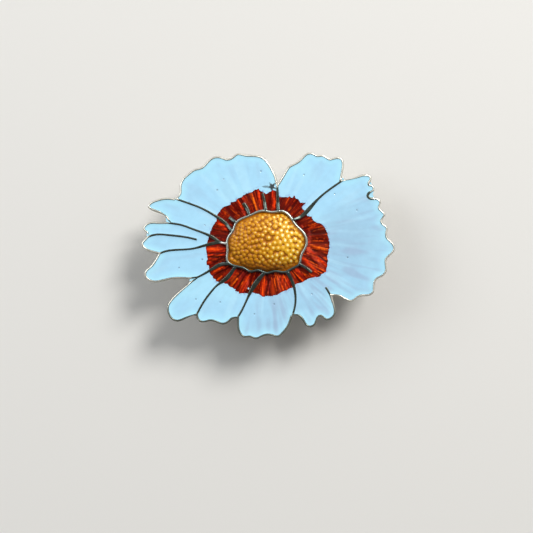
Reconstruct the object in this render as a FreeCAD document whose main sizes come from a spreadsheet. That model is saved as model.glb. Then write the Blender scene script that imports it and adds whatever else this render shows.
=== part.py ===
import FreeCAD, Part
import os

import Sketcher

# Enamel daisy hat pin, seen from the face along -Z. Millimetres, +X to the flower's right, +Y to its top.
# The origin is under the middle of the amber dome, on the plate's flat back; +Z is the face side.

doc = FreeCAD.newDocument("daisy_hat_pin")

SIZES = [
    # plate and enamel
    ("wall_width", 0.42),
    ("ring_width", 0.5),
    ("floor_height", 0.95),
    ("wall_height", 1.6),
    ("ring_height", 2.05),
    ("enamel_height", 1.5),
    ("trim_size", 80),
    # amber dome
    ("dome_height", 3.8),
    ("dome_half_length", 8.9),
    ("dome_half_width", 6.7),
    ("dome_edge_height", 1.75),
    ("dome_skin", 0.35),
    # posts
    ("post_spacing", 24),
    ("post_radius", 0.5),
    ("post_groove_radius", 0.32),
    ("post_foot_radius", 2.2),
    ("post_foot_thickness", 0.35),
    ("post_groove_top", 4.8),
    ("post_groove_bottom", 6.0),
    ("post_neck_bottom", 7.4),
    ("post_tip_radius", 0.08),
    ("post_length", 8.2),
    ("solder_width", 0.45),
    # butterfly clutch, measured down from the clutch's face against the fabric
    ("fabric_gap", 2.6),
    ("strip_thickness", 0.25),
    ("disc_radius", 5.6),
    ("disc_thickness", 0.35),
    ("disc_edge_depth", 0.85),
    ("clutch_bore_radius", 0.75),
    ("collar_radius", 3.65),
    ("collar_bore_radius", 3.3),
    ("collar_lip_radius", 2.95),
    ("collar_depth", 1.2),
    ("collar_lip_thickness", 0.28),
    ("running_gap", 0.08),
    ("cage_radius", 2.8),
    ("cage_flange_radius", 3.2),
    ("cage_wall", 0.3),
    ("cage_depth", 3.8),
    ("cage_exit_radius", 1.5),
    ("window_width", 3.7),
    ("strip_width", 3.3),
    ("bridge_depth", 1.35),
    ("bridge_half_length", 2.6),
    ("hinge_offset", 2.9),
    ("hinge_depth", 1.48),
    ("upper_leaf_depth", 2.35),
    ("lower_leaf_depth", 3.05),
    ("leaf_overlap", 1.35),
    ("jaw_clearance", 0.53),
    ("ear_reach", 5.9),
    ("ear_depth", 6.25),
    ("ear_lip", 0.45),
    ("leaf_root", 2.1),
    ("shoulder_reach", 3.35),
    ("shoulder_depth", 3.35),
]

sheet = doc.addObject("Spreadsheet::Sheet", "sizes")
for row, (alias, value) in enumerate(SIZES, start=1):
    sheet.set(f"A{row}", alias)
    sheet.set(f"B{row}", str(value))
    sheet.setAlias(f"B{row}", alias)
doc.recompute()


def size(alias):
    """The number that the sheet holds for this alias."""
    return float(sheet.get(alias))


# ---------------------------------------------------------------------------
# Outline of the flower: the outer edge of each petal, counter-clockwise from the notch at the top.
# Petal edges are ragged, so each is a smooth curve through points chosen at its bumps and dips.

NOTCH_TOP = (2.2, 11.6)
NOTCH_UPPER_LEFT = (-18.4, 8.7)
NOTCH_MIDDLE_LEFT = (-21.8, -2.5)
NOTCH_BOTTOM_LEFT = (-14.15, -14.9)
NOTCH_BOTTOM = (-5.9, -15.5)
NOTCH_LOWER_RIGHT = (5.3, -14.95)
NOTCH_RIGHT = (13.4, -10.95)

# where a scrap of enamel fills the notch, the neighbouring petals end at its two corners
WEB_LEFT_UPPER = (-20.25, 4.85)
WEB_LEFT_LOWER = (-20.2, 4.0)
WEB_CORNER_UPPER = (-15.5, -7.6)
WEB_CORNER_LOWER = (-15.4, -8.05)
WEB_RIGHT_UPPER = (15.25, 12.9)
WEB_RIGHT_LOWER = (15.75, 12.6)

RIM_TOP_LEFT = [
    NOTCH_TOP, (2.0, 13.0), (1.1, 14.9), (-0.3, 16.8), (-2.3, 17.5), (-4.3, 17.6), (-5.9, 17.8),
    (-6.9, 17.1), (-8.0, 16.75), (-9.3, 17.2), (-11.0, 16.95), (-12.1, 16.0), (-13.2, 15.0),
    (-14.6, 14.6), (-15.6, 13.9), (-16.9, 12.7), (-17.5, 11.0), (-17.5, 9.9), NOTCH_UPPER_LEFT,
]
RIM_UPPER_LEFT = [
    NOTCH_UPPER_LEFT, (-19.5, 8.85), (-20.8, 8.8), (-22.2, 8.45), (-23.5, 7.8), (-23.9, 7.1),
    (-23.2, 6.35), (-21.7, 5.8), WEB_LEFT_UPPER,
]
RIM_MIDDLE_LEFT = [
    WEB_LEFT_LOWER, (-21.8, 3.98), (-23.5, 3.95), (-24.5, 3.4), (-24.85, 2.4), (-24.2, 1.75),
    (-24.1, 1.15), (-24.7, 0.4), (-25.2, -0.4), (-24.9, -1.2), (-23.6, -2.0), NOTCH_MIDDLE_LEFT,
]
RIM_LOWER_LEFT = [
    NOTCH_MIDDLE_LEFT, (-22.5, -3.7), (-23.5, -5.0), (-24.5, -6.0), (-24.6, -6.8), (-23.9, -7.8),
    (-22.5, -8.25), (-20.5, -7.9), (-18.0, -7.5), WEB_CORNER_UPPER,
]
RIM_LEFT_CORNER = [
    WEB_CORNER_LOWER, (-17.5, -9.9), (-19.3, -11.7), (-20.05, -13.1), (-19.9, -14.5),
    (-19.0, -15.8), (-17.9, -16.15), (-16.6, -15.75), NOTCH_BOTTOM_LEFT,
]
RIM_BOTTOM_LEFT = [
    NOTCH_BOTTOM_LEFT, (-13.9, -15.75), (-13.2, -16.3), (-11.5, -16.1), (-10.2, -16.3), (-8.7, -16.75),
    (-7.7, -16.4), (-6.9, -15.7), NOTCH_BOTTOM,
]
RIM_BOTTOM = [
    NOTCH_BOTTOM, (-5.85, -17.3), (-5.35, -18.7), (-4.6, -19.35), (-3.4, -19.35), (-2.2, -19.7),
    (-0.6, -19.15), (1.2, -19.08), (2.4, -19.3), (3.3, -18.65), (4.4, -17.3), NOTCH_LOWER_RIGHT,
]
RIM_LOWER_RIGHT = [
    NOTCH_LOWER_RIGHT, (6.5, -15.1), (7.4, -16.1), (8.2, -17.15), (9.1, -17.3), (10.0, -16.65),
    (10.5, -15.4), (11.05, -15.15), (11.9, -15.8), (13.2, -15.6), (13.95, -14.6), (13.75, -12.5),
    NOTCH_RIGHT,
]
# the right petal's edge, in stretches: its upper end is folded over in two places, where the raised rim
# leaves the outer edge and a scrap of enamel lies between them
RIGHT_STRETCH_1 = [
    NOTCH_RIGHT, (14.8, -11.15), (16.4, -12.0), (17.2, -12.15), (18.3, -11.5), (19.2, -11.05),
    (20.7, -10.95), (21.7, -10.3), (21.9, -9.0), (22.4, -7.6), (23.6, -6.95), (24.35, -5.8),
    (24.3, -4.6), (24.3, -3.7), (25.4, -2.5), (26.0, -1.3), (25.5, -0.15), (24.55, 0.8), (24.4, 1.9),
    (24.5, 2.8), (23.6, 3.7), (23.4, 4.3), (24.0, 5.4), (23.3, 6.4), (22.9, 6.9), (23.15, 8.0),
    (22.5, 8.75),
]
RIGHT_STRETCH_2 = [(21.8, 10.4), (21.8, 10.9), (21.55, 11.35)]
RIGHT_STRETCH_3 = [(21.25, 12.9), (20.4, 13.55), (18.6, 13.3), WEB_RIGHT_LOWER]
FOLD_LOWER_OUTSIDE = [(21.8, 8.95), (21.5, 9.5)]
FOLD_LOWER_RIM = [(21.7, 8.83), (21.0, 8.85), (20.62, 9.2), (20.9, 9.75)]
FOLD_UPPER_OUTSIDE = [(21.1, 11.85)]
FOLD_UPPER_RIM = [(20.95, 11.5), (20.85, 11.85), (21.15, 12.35)]
RIM_RIGHT_OUTSIDE = (
    RIGHT_STRETCH_1 + FOLD_LOWER_OUTSIDE + RIGHT_STRETCH_2 + FOLD_UPPER_OUTSIDE + RIGHT_STRETCH_3
)
RIM_RIGHT = RIGHT_STRETCH_1 + FOLD_LOWER_RIM + RIGHT_STRETCH_2 + FOLD_UPPER_RIM + RIGHT_STRETCH_3
RIM_TOP_RIGHT = [
    WEB_RIGHT_UPPER, (15.5, 14.2), (15.65, 15.6), (15.3, 16.75), (14.3, 17.1), (12.8, 16.8),
    (12.1, 17.2), (11.2, 17.55), (10.3, 17.5), (9.3, 17.95), (8.0, 17.75), (7.0, 16.8), (5.9, 15.95),
    (4.6, 15.25), (3.7, 14.0), (2.75, 12.4), NOTCH_TOP,
]

# ---------------------------------------------------------------------------
# Centre lines of the raised walls between petals, from the edge of the flower inwards. Each runs on to a
# point inside the ring, so that a petal's cell is a closed loop and the ring trims its inner end. Where a
# point has a third number, that is the wall's width there; elsewhere it is wall_width.

HUB = (0.0, 0.0)
STEM = [(-9.3, -0.15, 0.55), (-7.7, -0.5, 0.55)]

WALL_TOP = [NOTCH_TOP, (2.3, 9.0, 0.55), (2.4, 6.2, 0.65)]
WALL_UPPER_LEFT = [
    NOTCH_UPPER_LEFT, (-16.0, 7.85), (-13.0, 6.7), (-10.0, 5.0, 0.55), (-8.0, 3.45, 0.62), (-7.0, 2.1, 0.5),
]
WALL_MIDDLE_LEFT = [
    (-19.2, 3.7), (-17.3, 3.4), (-15.0, 2.6), (-12.3, 1.6, 0.5), (-10.5, 0.65, 0.62), *STEM,
]
WALL_LOWER_LEFT = [
    NOTCH_MIDDLE_LEFT, (-20.5, -2.0), (-18.0, -1.65), (-14.5, -1.35), (-12.0, -0.65, 0.6),
    (-10.7, -0.35, 0.66), *STEM,
]
WALL_LEFT_CORNER = [
    (-13.9, -7.2), (-13.0, -6.75), (-11.3, -5.75, 0.55), (-9.8, -4.85, 0.72), (-8.8, -4.5, 0.66),
    (-7.7, -4.5, 0.55),
]
WALL_BOTTOM_LEFT = [
    NOTCH_BOTTOM_LEFT, (-13.0, -12.75), (-11.0, -9.95), (-9.8, -8.7, 0.46), (-8.1, -7.5, 0.85),
    (-6.3, -5.2, 0.62),
]
WALL_BOTTOM = [
    NOTCH_BOTTOM, (-4.85, -13.7), (-3.65, -11.1, 0.5), (-2.1, -8.4, 0.95), (-0.4, -6.3, 0.6),
]
WALL_LOWER_RIGHT = [
    NOTCH_LOWER_RIGHT, (5.85, -12.5), (5.8, -10.2, 0.5), (5.3, -8.2, 0.62), (4.2, -6.1, 0.75),
]
WALL_RIGHT = [
    (15.3, 12.3), (13.0, 10.7), (10.0, 8.15, 0.55), (8.1, 6.0, 0.85), (6.7, 4.9, 0.6), (5.3, 4.4, 0.5),
]

# the ring round the dome: a closed curve with a shallow dip where each petal fold meets it
RING = [
    (0.0, 6.1), (-1.5, 6.05), (-3.4, 5.2), (-5.3, 4.4), (-6.15, 3.6), (-6.7, 2.2), (-7.7, 0.7),
    (-7.9, -0.4), (-7.8, -2.0), (-7.8, -4.0), (-6.3, -4.9), (-4.5, -5.35), (-3.1, -6.0),
    (-1.7, -5.75), (0.0, -6.3), (1.6, -5.97), (3.9, -6.1), (5.2, -5.4), (6.65, -4.5), (7.0, -2.9),
    (8.05, -0.7), (7.6, 1.6), (5.7, 3.6), (4.8, 5.0), (3.2, 6.1), (1.6, 5.95),
]

# folds: short walls that stand free in a petal's cell, each from its free end to the wall that it joins
FOLDS = {
    "middle_left": [
        [(-14.0, 0.4), (-16.5, 0.95), (-19.5, 1.3), (-22.7, 1.35), (-24.6, 0.4)],
    ],
    "right": [
        [(11.95, -9.2), (12.75, -10.5), (13.4, -12.3)],
        [(9.15, -6.25, 0.5), (7.9, -5.25, 0.55), (6.6, -4.5, 0.5)],
    ],
    "top_left": [
        [(-7.5, 4.9, 0.62), (-6.1, 3.8, 0.5)],
        [(-4.65, 7.75, 0.6), (-3.9, 6.6, 0.62), (-3.4, 5.2, 0.5)],
        [(-0.75, 9.8), (-0.4, 8.2, 0.55), (-0.1, 6.1, 0.65)],
    ],
}

# the red enamel ends in a ragged, brushed edge round the flower's centre
RED_EDGE = [
    (2.4, 10.6), (1.4, 10.5), (0.0, 9.8), (-1.6, 10.6), (-3.1, 10.1), (-6.0, 8.5), (-9.0, 6.7),
    (-10.0, 5.0), (-11.3, 2.3), (-12.1, -0.5), (-11.8, -2.9), (-12.1, -4.2), (-11.4, -6.0),
    (-9.95, -8.0), (-8.2, -8.5), (-6.6, -9.4), (-5.5, -10.4), (-3.8, -10.5), (-2.0, -10.6),
    (0.0, -11.1), (2.5, -10.6), (5.3, -9.3), (8.2, -7.5), (11.0, -6.9), (12.2, -5.5), (12.4, -3.0),
    (12.8, -0.3), (12.1, 2.6), (10.3, 4.1), (8.4, 5.4), (7.6, 7.2), (6.2, 8.8), (4.5, 9.1), (2.6, 9.1),
]


def vector(point):
    return FreeCAD.Vector(point[0], point[1], 0)


def smooth(points):
    """An open curve through the points."""
    curve = Part.BSplineCurve()
    curve.interpolate(Points=[vector(point) for point in points])
    return curve


def smooth_loop(points):
    """A closed curve through the points."""
    curve = Part.BSplineCurve()
    curve.interpolate(Points=[vector(point) for point in points], PeriodicFlag=True)
    return curve


def half_width(point):
    """Half of a wall's width at one of its points."""
    width = point[2] if len(point) > 2 else size("wall_width")
    return width / 2


def moved_in(points, curve, distances):
    """The points moved square to their curve, to its left: inwards, on a counter-clockwise curve."""
    moved = []
    for point, distance in zip(points, distances):
        along = curve.tangent(curve.parameter(vector(point)))[0]
        moved.append((point[0] - along.y * distance, point[1] + along.x * distance))
    return moved


def sketch_of(name, curves):
    """A plan sketch that holds the curves end to end."""
    sketch = doc.addObject("Sketcher::SketchObject", name)
    for curve in curves:
        sketch.addGeometry(curve, False)
    return sketch


def straight(start, end):
    return Part.LineSegment(vector(start), vector(end))


def prism_of(name, source, bottom, top):
    """The source's outline as a solid between two heights."""
    prism = doc.addObject("Part::Extrusion", name)
    prism.Base = source
    prism.DirMode = "Custom"
    prism.Dir = FreeCAD.Vector(0, 0, 1)
    prism.Solid = True
    prism.setExpression("LengthFwd", f"{top} - ({bottom})")
    prism.setExpression("Placement.Base.z", bottom)
    return prism


def cut_of(name, base, tool):
    cut = doc.addObject("Part::Cut", name)
    cut.Base = base
    cut.Tool = tool
    return cut


def common_of(name, shapes):
    common = doc.addObject("Part::MultiCommon", name)
    common.Shapes = shapes
    return common


def fuse_of(name, shapes):
    fuse = doc.addObject("Part::MultiFuse", name)
    fuse.Shapes = shapes
    return fuse


NODES = []


def node(name, feature):
    """Name a finished sub-part; its label is also its file's name."""
    feature.Label = name
    NODES.append(feature)
    return feature


# ---------------------------------------------------------------------------
# Plate, inner field and ring

flower_sketch = sketch_of("flower_outline", [
    smooth(RIM_TOP_LEFT),
    smooth(RIM_UPPER_LEFT),
    straight(WEB_LEFT_UPPER, WEB_LEFT_LOWER),
    smooth(RIM_MIDDLE_LEFT),
    smooth(RIM_LOWER_LEFT),
    straight(WEB_CORNER_UPPER, WEB_CORNER_LOWER),
    smooth(RIM_LEFT_CORNER),
    smooth(RIM_BOTTOM_LEFT),
    smooth(RIM_BOTTOM),
    smooth(RIM_LOWER_RIGHT),
    smooth(RIM_RIGHT_OUTSIDE),
    straight(WEB_RIGHT_LOWER, WEB_RIGHT_UPPER),
    smooth(RIM_TOP_RIGHT),
])
red_sketch = sketch_of("red_outline", [smooth_loop(RED_EDGE)])

plate = prism_of("plate", flower_sketch, "0", "sizes.wall_height")

ring_middle = smooth_loop(RING)
ring_half = [size("ring_width") / 2] * len(RING)
ring_growth = [-half for half in ring_half]
ring_outer = sketch_of("ring_outer", [smooth_loop(moved_in(RING, ring_middle, ring_growth))])
ring_inner = sketch_of("ring_inner", [smooth_loop(moved_in(RING, ring_middle, ring_half))])
ring_outer_prism = prism_of("ring_outer_prism", ring_outer, "sizes.floor_height", "sizes.ring_height")
ring_inner_prism = prism_of("ring_inner_prism", ring_inner, "sizes.floor_height", "sizes.dome_height * 2")
ring_wall = cut_of("ring_wall", ring_outer_prism, ring_inner_prism)
dome_slab = prism_of("dome_slab", ring_inner, "sizes.floor_height", "sizes.dome_edge_height")
red_prism = prism_of("red_prism", red_sketch, "0", "sizes.dome_height")

# ---------------------------------------------------------------------------
# Petal cells. A cell's outline runs inside the rim, then along the near side of one wall to the hub, and
# back along the other wall. Each stretch is drawn a little long, and neighbours are trimmed where they cross.

OVERSHOOT = 0.9  # how far a stretch is drawn past its end, so that it crosses its neighbour
CORNER_REACH = 1.6  # an edge and a wall crossing further than this from their corner don't meet there


class Stretch:
    """One side of a cell: the points, each moved in by its distance, as a curve that overshoots both ends."""

    def __init__(self, points, distances):
        moved = [vector(point) for point in moved_in(points, smooth(points), distances)]
        before = moved[0] - (moved[1] - moved[0]).normalize() * OVERSHOOT
        after = moved[-1] + (moved[-1] - moved[-2]).normalize() * OVERSHOOT
        self.curve = smooth([before] + moved + [after])
        self.start = self.curve.parameter(moved[0])
        self.end = self.curve.parameter(moved[-1])
        self.corner = vector(points[-1])

    def start_point(self):
        return self.curve.value(self.start)

    def end_point(self):
        return self.curve.value(self.end)

    def trimmed(self):
        piece = self.curve.copy()
        piece.segment(self.start, self.end)
        return piece


def trimmed_together(first, second, both_walls):
    """End the first stretch and begin the second where they cross, if they do.

    An edge and a wall cross at their corner; two walls may run together anywhere before the ring.
    """
    crossings = [FreeCAD.Vector(point.X, point.Y, point.Z) for point in first.curve.intersectCC(second.curve)]
    if both_walls:
        crossings.sort(key=vector(HUB).distanceToPoint, reverse=True)
    else:
        crossings = [point for point in crossings if point.distanceToPoint(first.corner) < CORNER_REACH]
        crossings.sort(key=first.corner.distanceToPoint)
    if crossings:
        first.end = first.curve.parameter(crossings[0])
        second.start = second.curve.parameter(crossings[0])
    return bool(crossings)


def petal_outline(rims, last_wall, first_wall):
    """A petal's cell, counter-clockwise: its rims, the last wall inwards and the first wall outwards."""
    stretches = [Stretch(rim, [size("wall_width")] * len(rim)) for rim in rims]
    for wall in (last_wall, first_wall[::-1]):
        stretches.append(Stretch(wall, [half_width(point) for point in wall]))
    following = stretches[1:] + stretches[:1]
    walls_join = len(rims)
    crossed = []
    for number, (first, second) in enumerate(zip(stretches, following)):
        crossed.append(trimmed_together(first, second, number == walls_join))
    curves = []
    for number, (first, second) in enumerate(zip(stretches, following)):
        curves.append(first.trimmed())
        stops = [first.end_point(), second.start_point()]
        if number == walls_join:
            stops.insert(1, vector(HUB))
        if not crossed[number]:
            curves += [Part.LineSegment(start, end) for start, end in zip(stops, stops[1:])]
    return curves


# each petal's edges, its last wall and its first
PETALS = {
    "top_left": petal_outline([RIM_TOP_LEFT], WALL_UPPER_LEFT, WALL_TOP),
    "upper_left": petal_outline([RIM_UPPER_LEFT], WALL_MIDDLE_LEFT, WALL_UPPER_LEFT),
    "middle_left": petal_outline([RIM_MIDDLE_LEFT], WALL_LOWER_LEFT, WALL_MIDDLE_LEFT),
    "lower_left": petal_outline([RIM_LOWER_LEFT], WALL_LEFT_CORNER, WALL_LOWER_LEFT),
    "left_corner": petal_outline([RIM_LEFT_CORNER], WALL_BOTTOM_LEFT, WALL_LEFT_CORNER),
    "bottom_left": petal_outline([RIM_BOTTOM_LEFT], WALL_BOTTOM, WALL_BOTTOM_LEFT),
    "bottom": petal_outline([RIM_BOTTOM], WALL_LOWER_RIGHT, WALL_BOTTOM),
    "right": petal_outline([RIM_LOWER_RIGHT, RIM_RIGHT], WALL_RIGHT, WALL_LOWER_RIGHT),
    "top_right": petal_outline([RIM_TOP_RIGHT], WALL_TOP, WALL_RIGHT),
}

# scraps of enamel that lie outside the walls: three in notches, two behind the right petal's folded edge
WEBS = {
    "notch_left": [WEB_LEFT_UPPER, WEB_LEFT_LOWER, (-19.35, 3.8)],
    "notch_corner": [WEB_CORNER_UPPER, WEB_CORNER_LOWER, (-14.2, -7.35)],
    "notch_cleft": [(-24.25, 1.75), (-24.3, 0.95), (-23.5, 1.35)],
    "notch_right": [WEB_RIGHT_UPPER, WEB_RIGHT_LOWER, (15.3, 12.35)],
}
EDGE_SCRAPS = {
    "edge_upper": [(21.4, 11.95), (21.0, 12.0), (20.88, 11.8), (20.95, 11.55), (21.6, 11.5)],
    "edge_lower": [(21.9, 10.0), (21.5, 10.15), (20.9, 9.65), (20.68, 9.25), (21.0, 8.9), (22.0, 8.97)],
}


def fold_wall(name, points):
    """A free-standing wall along a fold's line."""
    near = moved_in(points, smooth(points), [-half_width(point) for point in points])
    far = moved_in(points, smooth(points), [half_width(point) for point in points])[::-1]
    sides = [smooth(near), straight(near[-1], far[0]), smooth(far), straight(far[-1], near[0])]
    return prism_of(name, sketch_of(f"{name}_outline", sides), "sizes.floor_height", "sizes.wall_height")


fold_walls = {
    petal: [fold_wall(f"fold_{petal}_{number}", points) for number, points in enumerate(folds, start=1)]
    for petal, folds in FOLDS.items()
}

# everything above the enamel's level, to trim the fills flush
above_enamel = doc.addObject("Part::Box", "above_enamel")
above_enamel.setExpression("Length", "sizes.trim_size")
above_enamel.setExpression("Width", "sizes.trim_size")
above_enamel.setExpression("Height", "sizes.trim_size")
above_enamel.setExpression("Placement.Base.x", "-sizes.trim_size / 2")
above_enamel.setExpression("Placement.Base.y", "-sizes.trim_size / 2")
above_enamel.setExpression("Placement.Base.z", "sizes.enamel_height")

# ---------------------------------------------------------------------------
# Each petal's cell, and the white and red enamel that fill it

cells = []
for petal, curves in PETALS.items():
    loop = sketch_of(f"petal_{petal}", curves)
    whole_cell = prism_of(f"cell_to_hub_{petal}", loop, "sizes.floor_height", "sizes.wall_height")
    cell = cut_of(f"cell_{petal}", whole_cell, ring_outer_prism)
    for number, wall in enumerate(fold_walls.get(petal, []), start=1):
        cell = cut_of(f"cell_{petal}_{number}", cell, wall)
    cells.append(cell)
    fill = cut_of(f"fill_{petal}", cell, above_enamel)
    node(f"{petal}_white_enamel", cut_of(f"white_{petal}", fill, red_prism))
    node(f"{petal}_red_enamel", common_of(f"red_{petal}", [fill, red_prism]))


def scrap_prism(name, corners):
    """A straight-sided pocket for a scrap of enamel."""
    sides = [straight(a, b) for a, b in zip(corners, corners[1:] + corners[:1])]
    return prism_of(name, sketch_of(f"{name}_outline", sides), "sizes.floor_height", "sizes.wall_height")


def scrap_node(name, scraps):
    """The scraps of enamel in these pockets, as separate solids of one sub-part."""
    pockets = [scrap_prism(key, corners) for key, corners in scraps.items()]
    group = doc.addObject("Part::Compound", f"{name}_pockets")
    group.Links = pockets
    inside = common_of(f"{name}_inside", [group, plate])
    node(name, cut_of(f"{name}_trimmed", inside, above_enamel))
    return pockets


web_pockets = scrap_node("notch_enamel", WEBS)
edge_pockets = scrap_node("folded_edge_enamel", EDGE_SCRAPS)

# ---------------------------------------------------------------------------
# Dome and base


def dome_cap(name, shrink):
    """The part inside the ring of an oval dome, drawn in by the expression's value."""
    oval = doc.addObject("Part::Ellipsoid", f"{name}_oval")
    oval.setExpression("Radius1", f"sizes.dome_height - {shrink}")
    oval.setExpression("Radius2", f"sizes.dome_half_length - {shrink}")
    oval.setExpression("Radius3", f"sizes.dome_half_width - {shrink}")
    return common_of(name, [oval, ring_inner_prism])


dome_outside = dome_cap("dome_outside", "0")
dome_core = dome_cap("dome_core", "sizes.dome_skin")
dome_filled = fuse_of("dome_filled", [dome_slab, dome_outside])
node("amber_dome_enamel", cut_of("dome_enamel", dome_filled, dome_core))

pockets = doc.addObject("Part::Compound", "pockets")
pockets.Links = [ring_inner_prism] + cells + web_pockets + edge_pockets
plate_with_cells = cut_of("plate_with_cells", plate, pockets)
node("struck_base", fuse_of("base", [plate_with_cells, ring_wall, dome_core]))


# ---------------------------------------------------------------------------
# Posts and butterfly clutches. Each piece is drawn round its own post's axis, then placed.


def origin_plane(body, role):
    return next(plane for plane in body.Origin.OriginFeatures if plane.Role == role)


def bound_sketch(body, name, role, corners):
    """A closed outline of straight sides. Each corner is a pair of expressions in the sheet's sizes."""
    sketch = body.newObject("Sketcher::SketchObject", name)
    sketch.AttachmentSupport = [(origin_plane(body, role), "")]
    sketch.MapMode = "FlatFace"
    places = [
        FreeCAD.Vector(float(sketch.evalExpression(across)), float(sketch.evalExpression(up)), 0)
        for across, up in corners
    ]
    count = len(corners)
    for number in range(count):
        sketch.addGeometry(Part.LineSegment(places[number], places[(number + 1) % count]), False)
    for number in range(count):
        sketch.addConstraint(Sketcher.Constraint("Coincident", number, 2, (number + 1) % count, 1))
    for number, (across, up) in enumerate(corners):
        for kind, expression, value in (
            ("DistanceX", across, places[number].x),
            ("DistanceY", up, places[number].y),
        ):
            constraint = sketch.addConstraint(Sketcher.Constraint(kind, -1, 1, number, 1, value))
            sketch.setExpression(f"Constraints[{constraint}]", expression)
    return sketch


def circle_sketch(body, name, role, radius):
    """A circle of this radius round the post's axis."""
    sketch = body.newObject("Sketcher::SketchObject", name)
    sketch.AttachmentSupport = [(origin_plane(body, role), "")]
    sketch.MapMode = "FlatFace"
    centre = FreeCAD.Vector(0, 0, 0)
    sketch.addGeometry(Part.Circle(centre, FreeCAD.Vector(0, 0, 1), size(radius)), False)
    sketch.addConstraint(Sketcher.Constraint("Coincident", 0, 3, -1, 1))
    constraint = sketch.addConstraint(Sketcher.Constraint("Radius", 0, size(radius)))
    sketch.setExpression(f"Constraints[{constraint}]", f"sizes.{radius}")
    return sketch


def turned_body(name, corners):
    """A body turned about the post's axis from its half section: radius, height."""
    body = doc.addObject("PartDesign::Body", name)
    profile = bound_sketch(body, f"{name}_section", "XZ_Plane", corners)
    turn = body.newObject("PartDesign::Revolution", f"{name}_turn")
    turn.Profile = profile
    turn.ReferenceAxis = (profile, ["V_Axis"])
    turn.Angle = 360
    profile.Visibility = False
    return body


def cut_through(body, profile, name):
    """Cut the profile through the whole body, both ways from its plane, and see that material went."""
    doc.recompute()
    before = body.Shape.Volume
    pocket = body.newObject("PartDesign::Pocket", name)
    pocket.Profile = profile
    pocket.Type = "ThroughAll"
    pocket.Midplane = True
    doc.recompute()
    if not body.Shape.Volume < before:
        raise RuntimeError(f"{name} took nothing away")


def place_on_post(feature, side, height):
    """Put a piece on its side's post, at a height that is an expression."""
    feature.setExpression("Placement.Base.x", f"{side} * sizes.post_spacing / 2")
    feature.setExpression("Placement.Base.z", height)


POST_SECTION = [
    ("0", "0"),
    ("sizes.post_foot_radius", "0"),
    ("sizes.post_foot_radius", "-sizes.post_foot_thickness"),
    ("sizes.post_radius", "-sizes.post_foot_thickness"),
    ("sizes.post_radius", "-sizes.post_groove_top"),
    ("sizes.post_groove_radius", "-sizes.post_groove_top"),
    ("sizes.post_groove_radius", "-sizes.post_groove_bottom"),
    ("sizes.post_radius", "-sizes.post_groove_bottom"),
    ("sizes.post_radius", "-sizes.post_neck_bottom"),
    ("sizes.post_tip_radius", "-sizes.post_length"),
    ("0", "-sizes.post_length"),
]
SOLDER_SECTION = [
    ("sizes.post_foot_radius", "0"),
    ("sizes.post_foot_radius + sizes.solder_width", "0"),
    ("sizes.post_foot_radius", "-sizes.post_foot_thickness * 0.8"),
]
DISC_SECTION = [
    ("sizes.clutch_bore_radius", "0"),
    ("sizes.disc_radius - sizes.disc_edge_depth / 2", "0"),
    ("sizes.disc_radius", "-sizes.disc_edge_depth / 2"),
    ("sizes.disc_radius", "-sizes.disc_edge_depth"),
    ("sizes.disc_radius - sizes.disc_thickness", "-sizes.disc_edge_depth"),
    ("sizes.disc_radius - sizes.disc_thickness", "-sizes.disc_edge_depth / 2 - sizes.disc_thickness / 2"),
    ("sizes.disc_radius - sizes.disc_edge_depth / 2 - sizes.disc_thickness / 2", "-sizes.disc_thickness"),
    ("sizes.collar_radius", "-sizes.disc_thickness"),
    ("sizes.collar_radius", "-sizes.collar_depth"),
    ("sizes.collar_lip_radius", "-sizes.collar_depth"),
    ("sizes.collar_lip_radius", "-sizes.collar_depth + sizes.collar_lip_thickness"),
    ("sizes.collar_bore_radius", "-sizes.collar_depth + sizes.collar_lip_thickness"),
    ("sizes.collar_bore_radius", "-sizes.disc_thickness"),
    ("sizes.clutch_bore_radius", "-sizes.disc_thickness"),
]
FLANGE_TOP = "-sizes.disc_thickness - sizes.running_gap"
FLANGE_BOTTOM = "-sizes.collar_depth + sizes.collar_lip_thickness + sizes.running_gap"
CAGE_SECTION = [
    ("sizes.clutch_bore_radius", FLANGE_TOP),
    ("sizes.cage_flange_radius", FLANGE_TOP),
    ("sizes.cage_flange_radius", FLANGE_BOTTOM),
    ("sizes.cage_radius", FLANGE_BOTTOM),
    ("sizes.cage_radius", "-sizes.cage_depth"),
    ("sizes.cage_exit_radius", "-sizes.cage_depth"),
    ("sizes.cage_exit_radius", "-sizes.cage_depth + sizes.cage_wall"),
    ("sizes.cage_radius - sizes.cage_wall", "-sizes.cage_depth + sizes.cage_wall"),
    ("sizes.cage_radius - sizes.cage_wall", FLANGE_BOTTOM),
    ("sizes.clutch_bore_radius", FLANGE_BOTTOM),
]
WINDOW = [
    ("-sizes.window_width / 2", "-sizes.bridge_depth"),
    ("sizes.window_width / 2", "-sizes.bridge_depth"),
    ("sizes.window_width / 2", "-sizes.cage_depth + sizes.cage_wall"),
    ("-sizes.window_width / 2", "-sizes.cage_depth + sizes.cage_wall"),
]
BRIDGE_SECTION = [
    ("-sizes.bridge_half_length", "-sizes.bridge_depth"),
    ("sizes.bridge_half_length", "-sizes.bridge_depth"),
    ("sizes.bridge_half_length", "-sizes.bridge_depth - sizes.strip_thickness"),
    ("-sizes.bridge_half_length", "-sizes.bridge_depth - sizes.strip_thickness"),
]


def strip_outline(path, thickness):
    """The closed outline of a bent strip that lies evenly on both sides of its path."""
    left = []
    right = []
    for number, point in enumerate(path):
        before = path[max(number - 1, 0)]
        after = path[min(number + 1, len(path) - 1)]
        come = (vector(point) - vector(before)) if number else vector(after) - vector(point)
        go = (vector(after) - vector(point)) if number < len(path) - 1 else come
        come.normalize()
        go.normalize()
        middle = come + go
        middle.normalize()
        reach = thickness / 2 / max(middle.dot(come), 0.5)
        left.append((point[0] - middle.y * reach, point[1] + middle.x * reach))
        right.append((point[0] + middle.y * reach, point[1] - middle.x * reach))
    return left + right[::-1]


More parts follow.
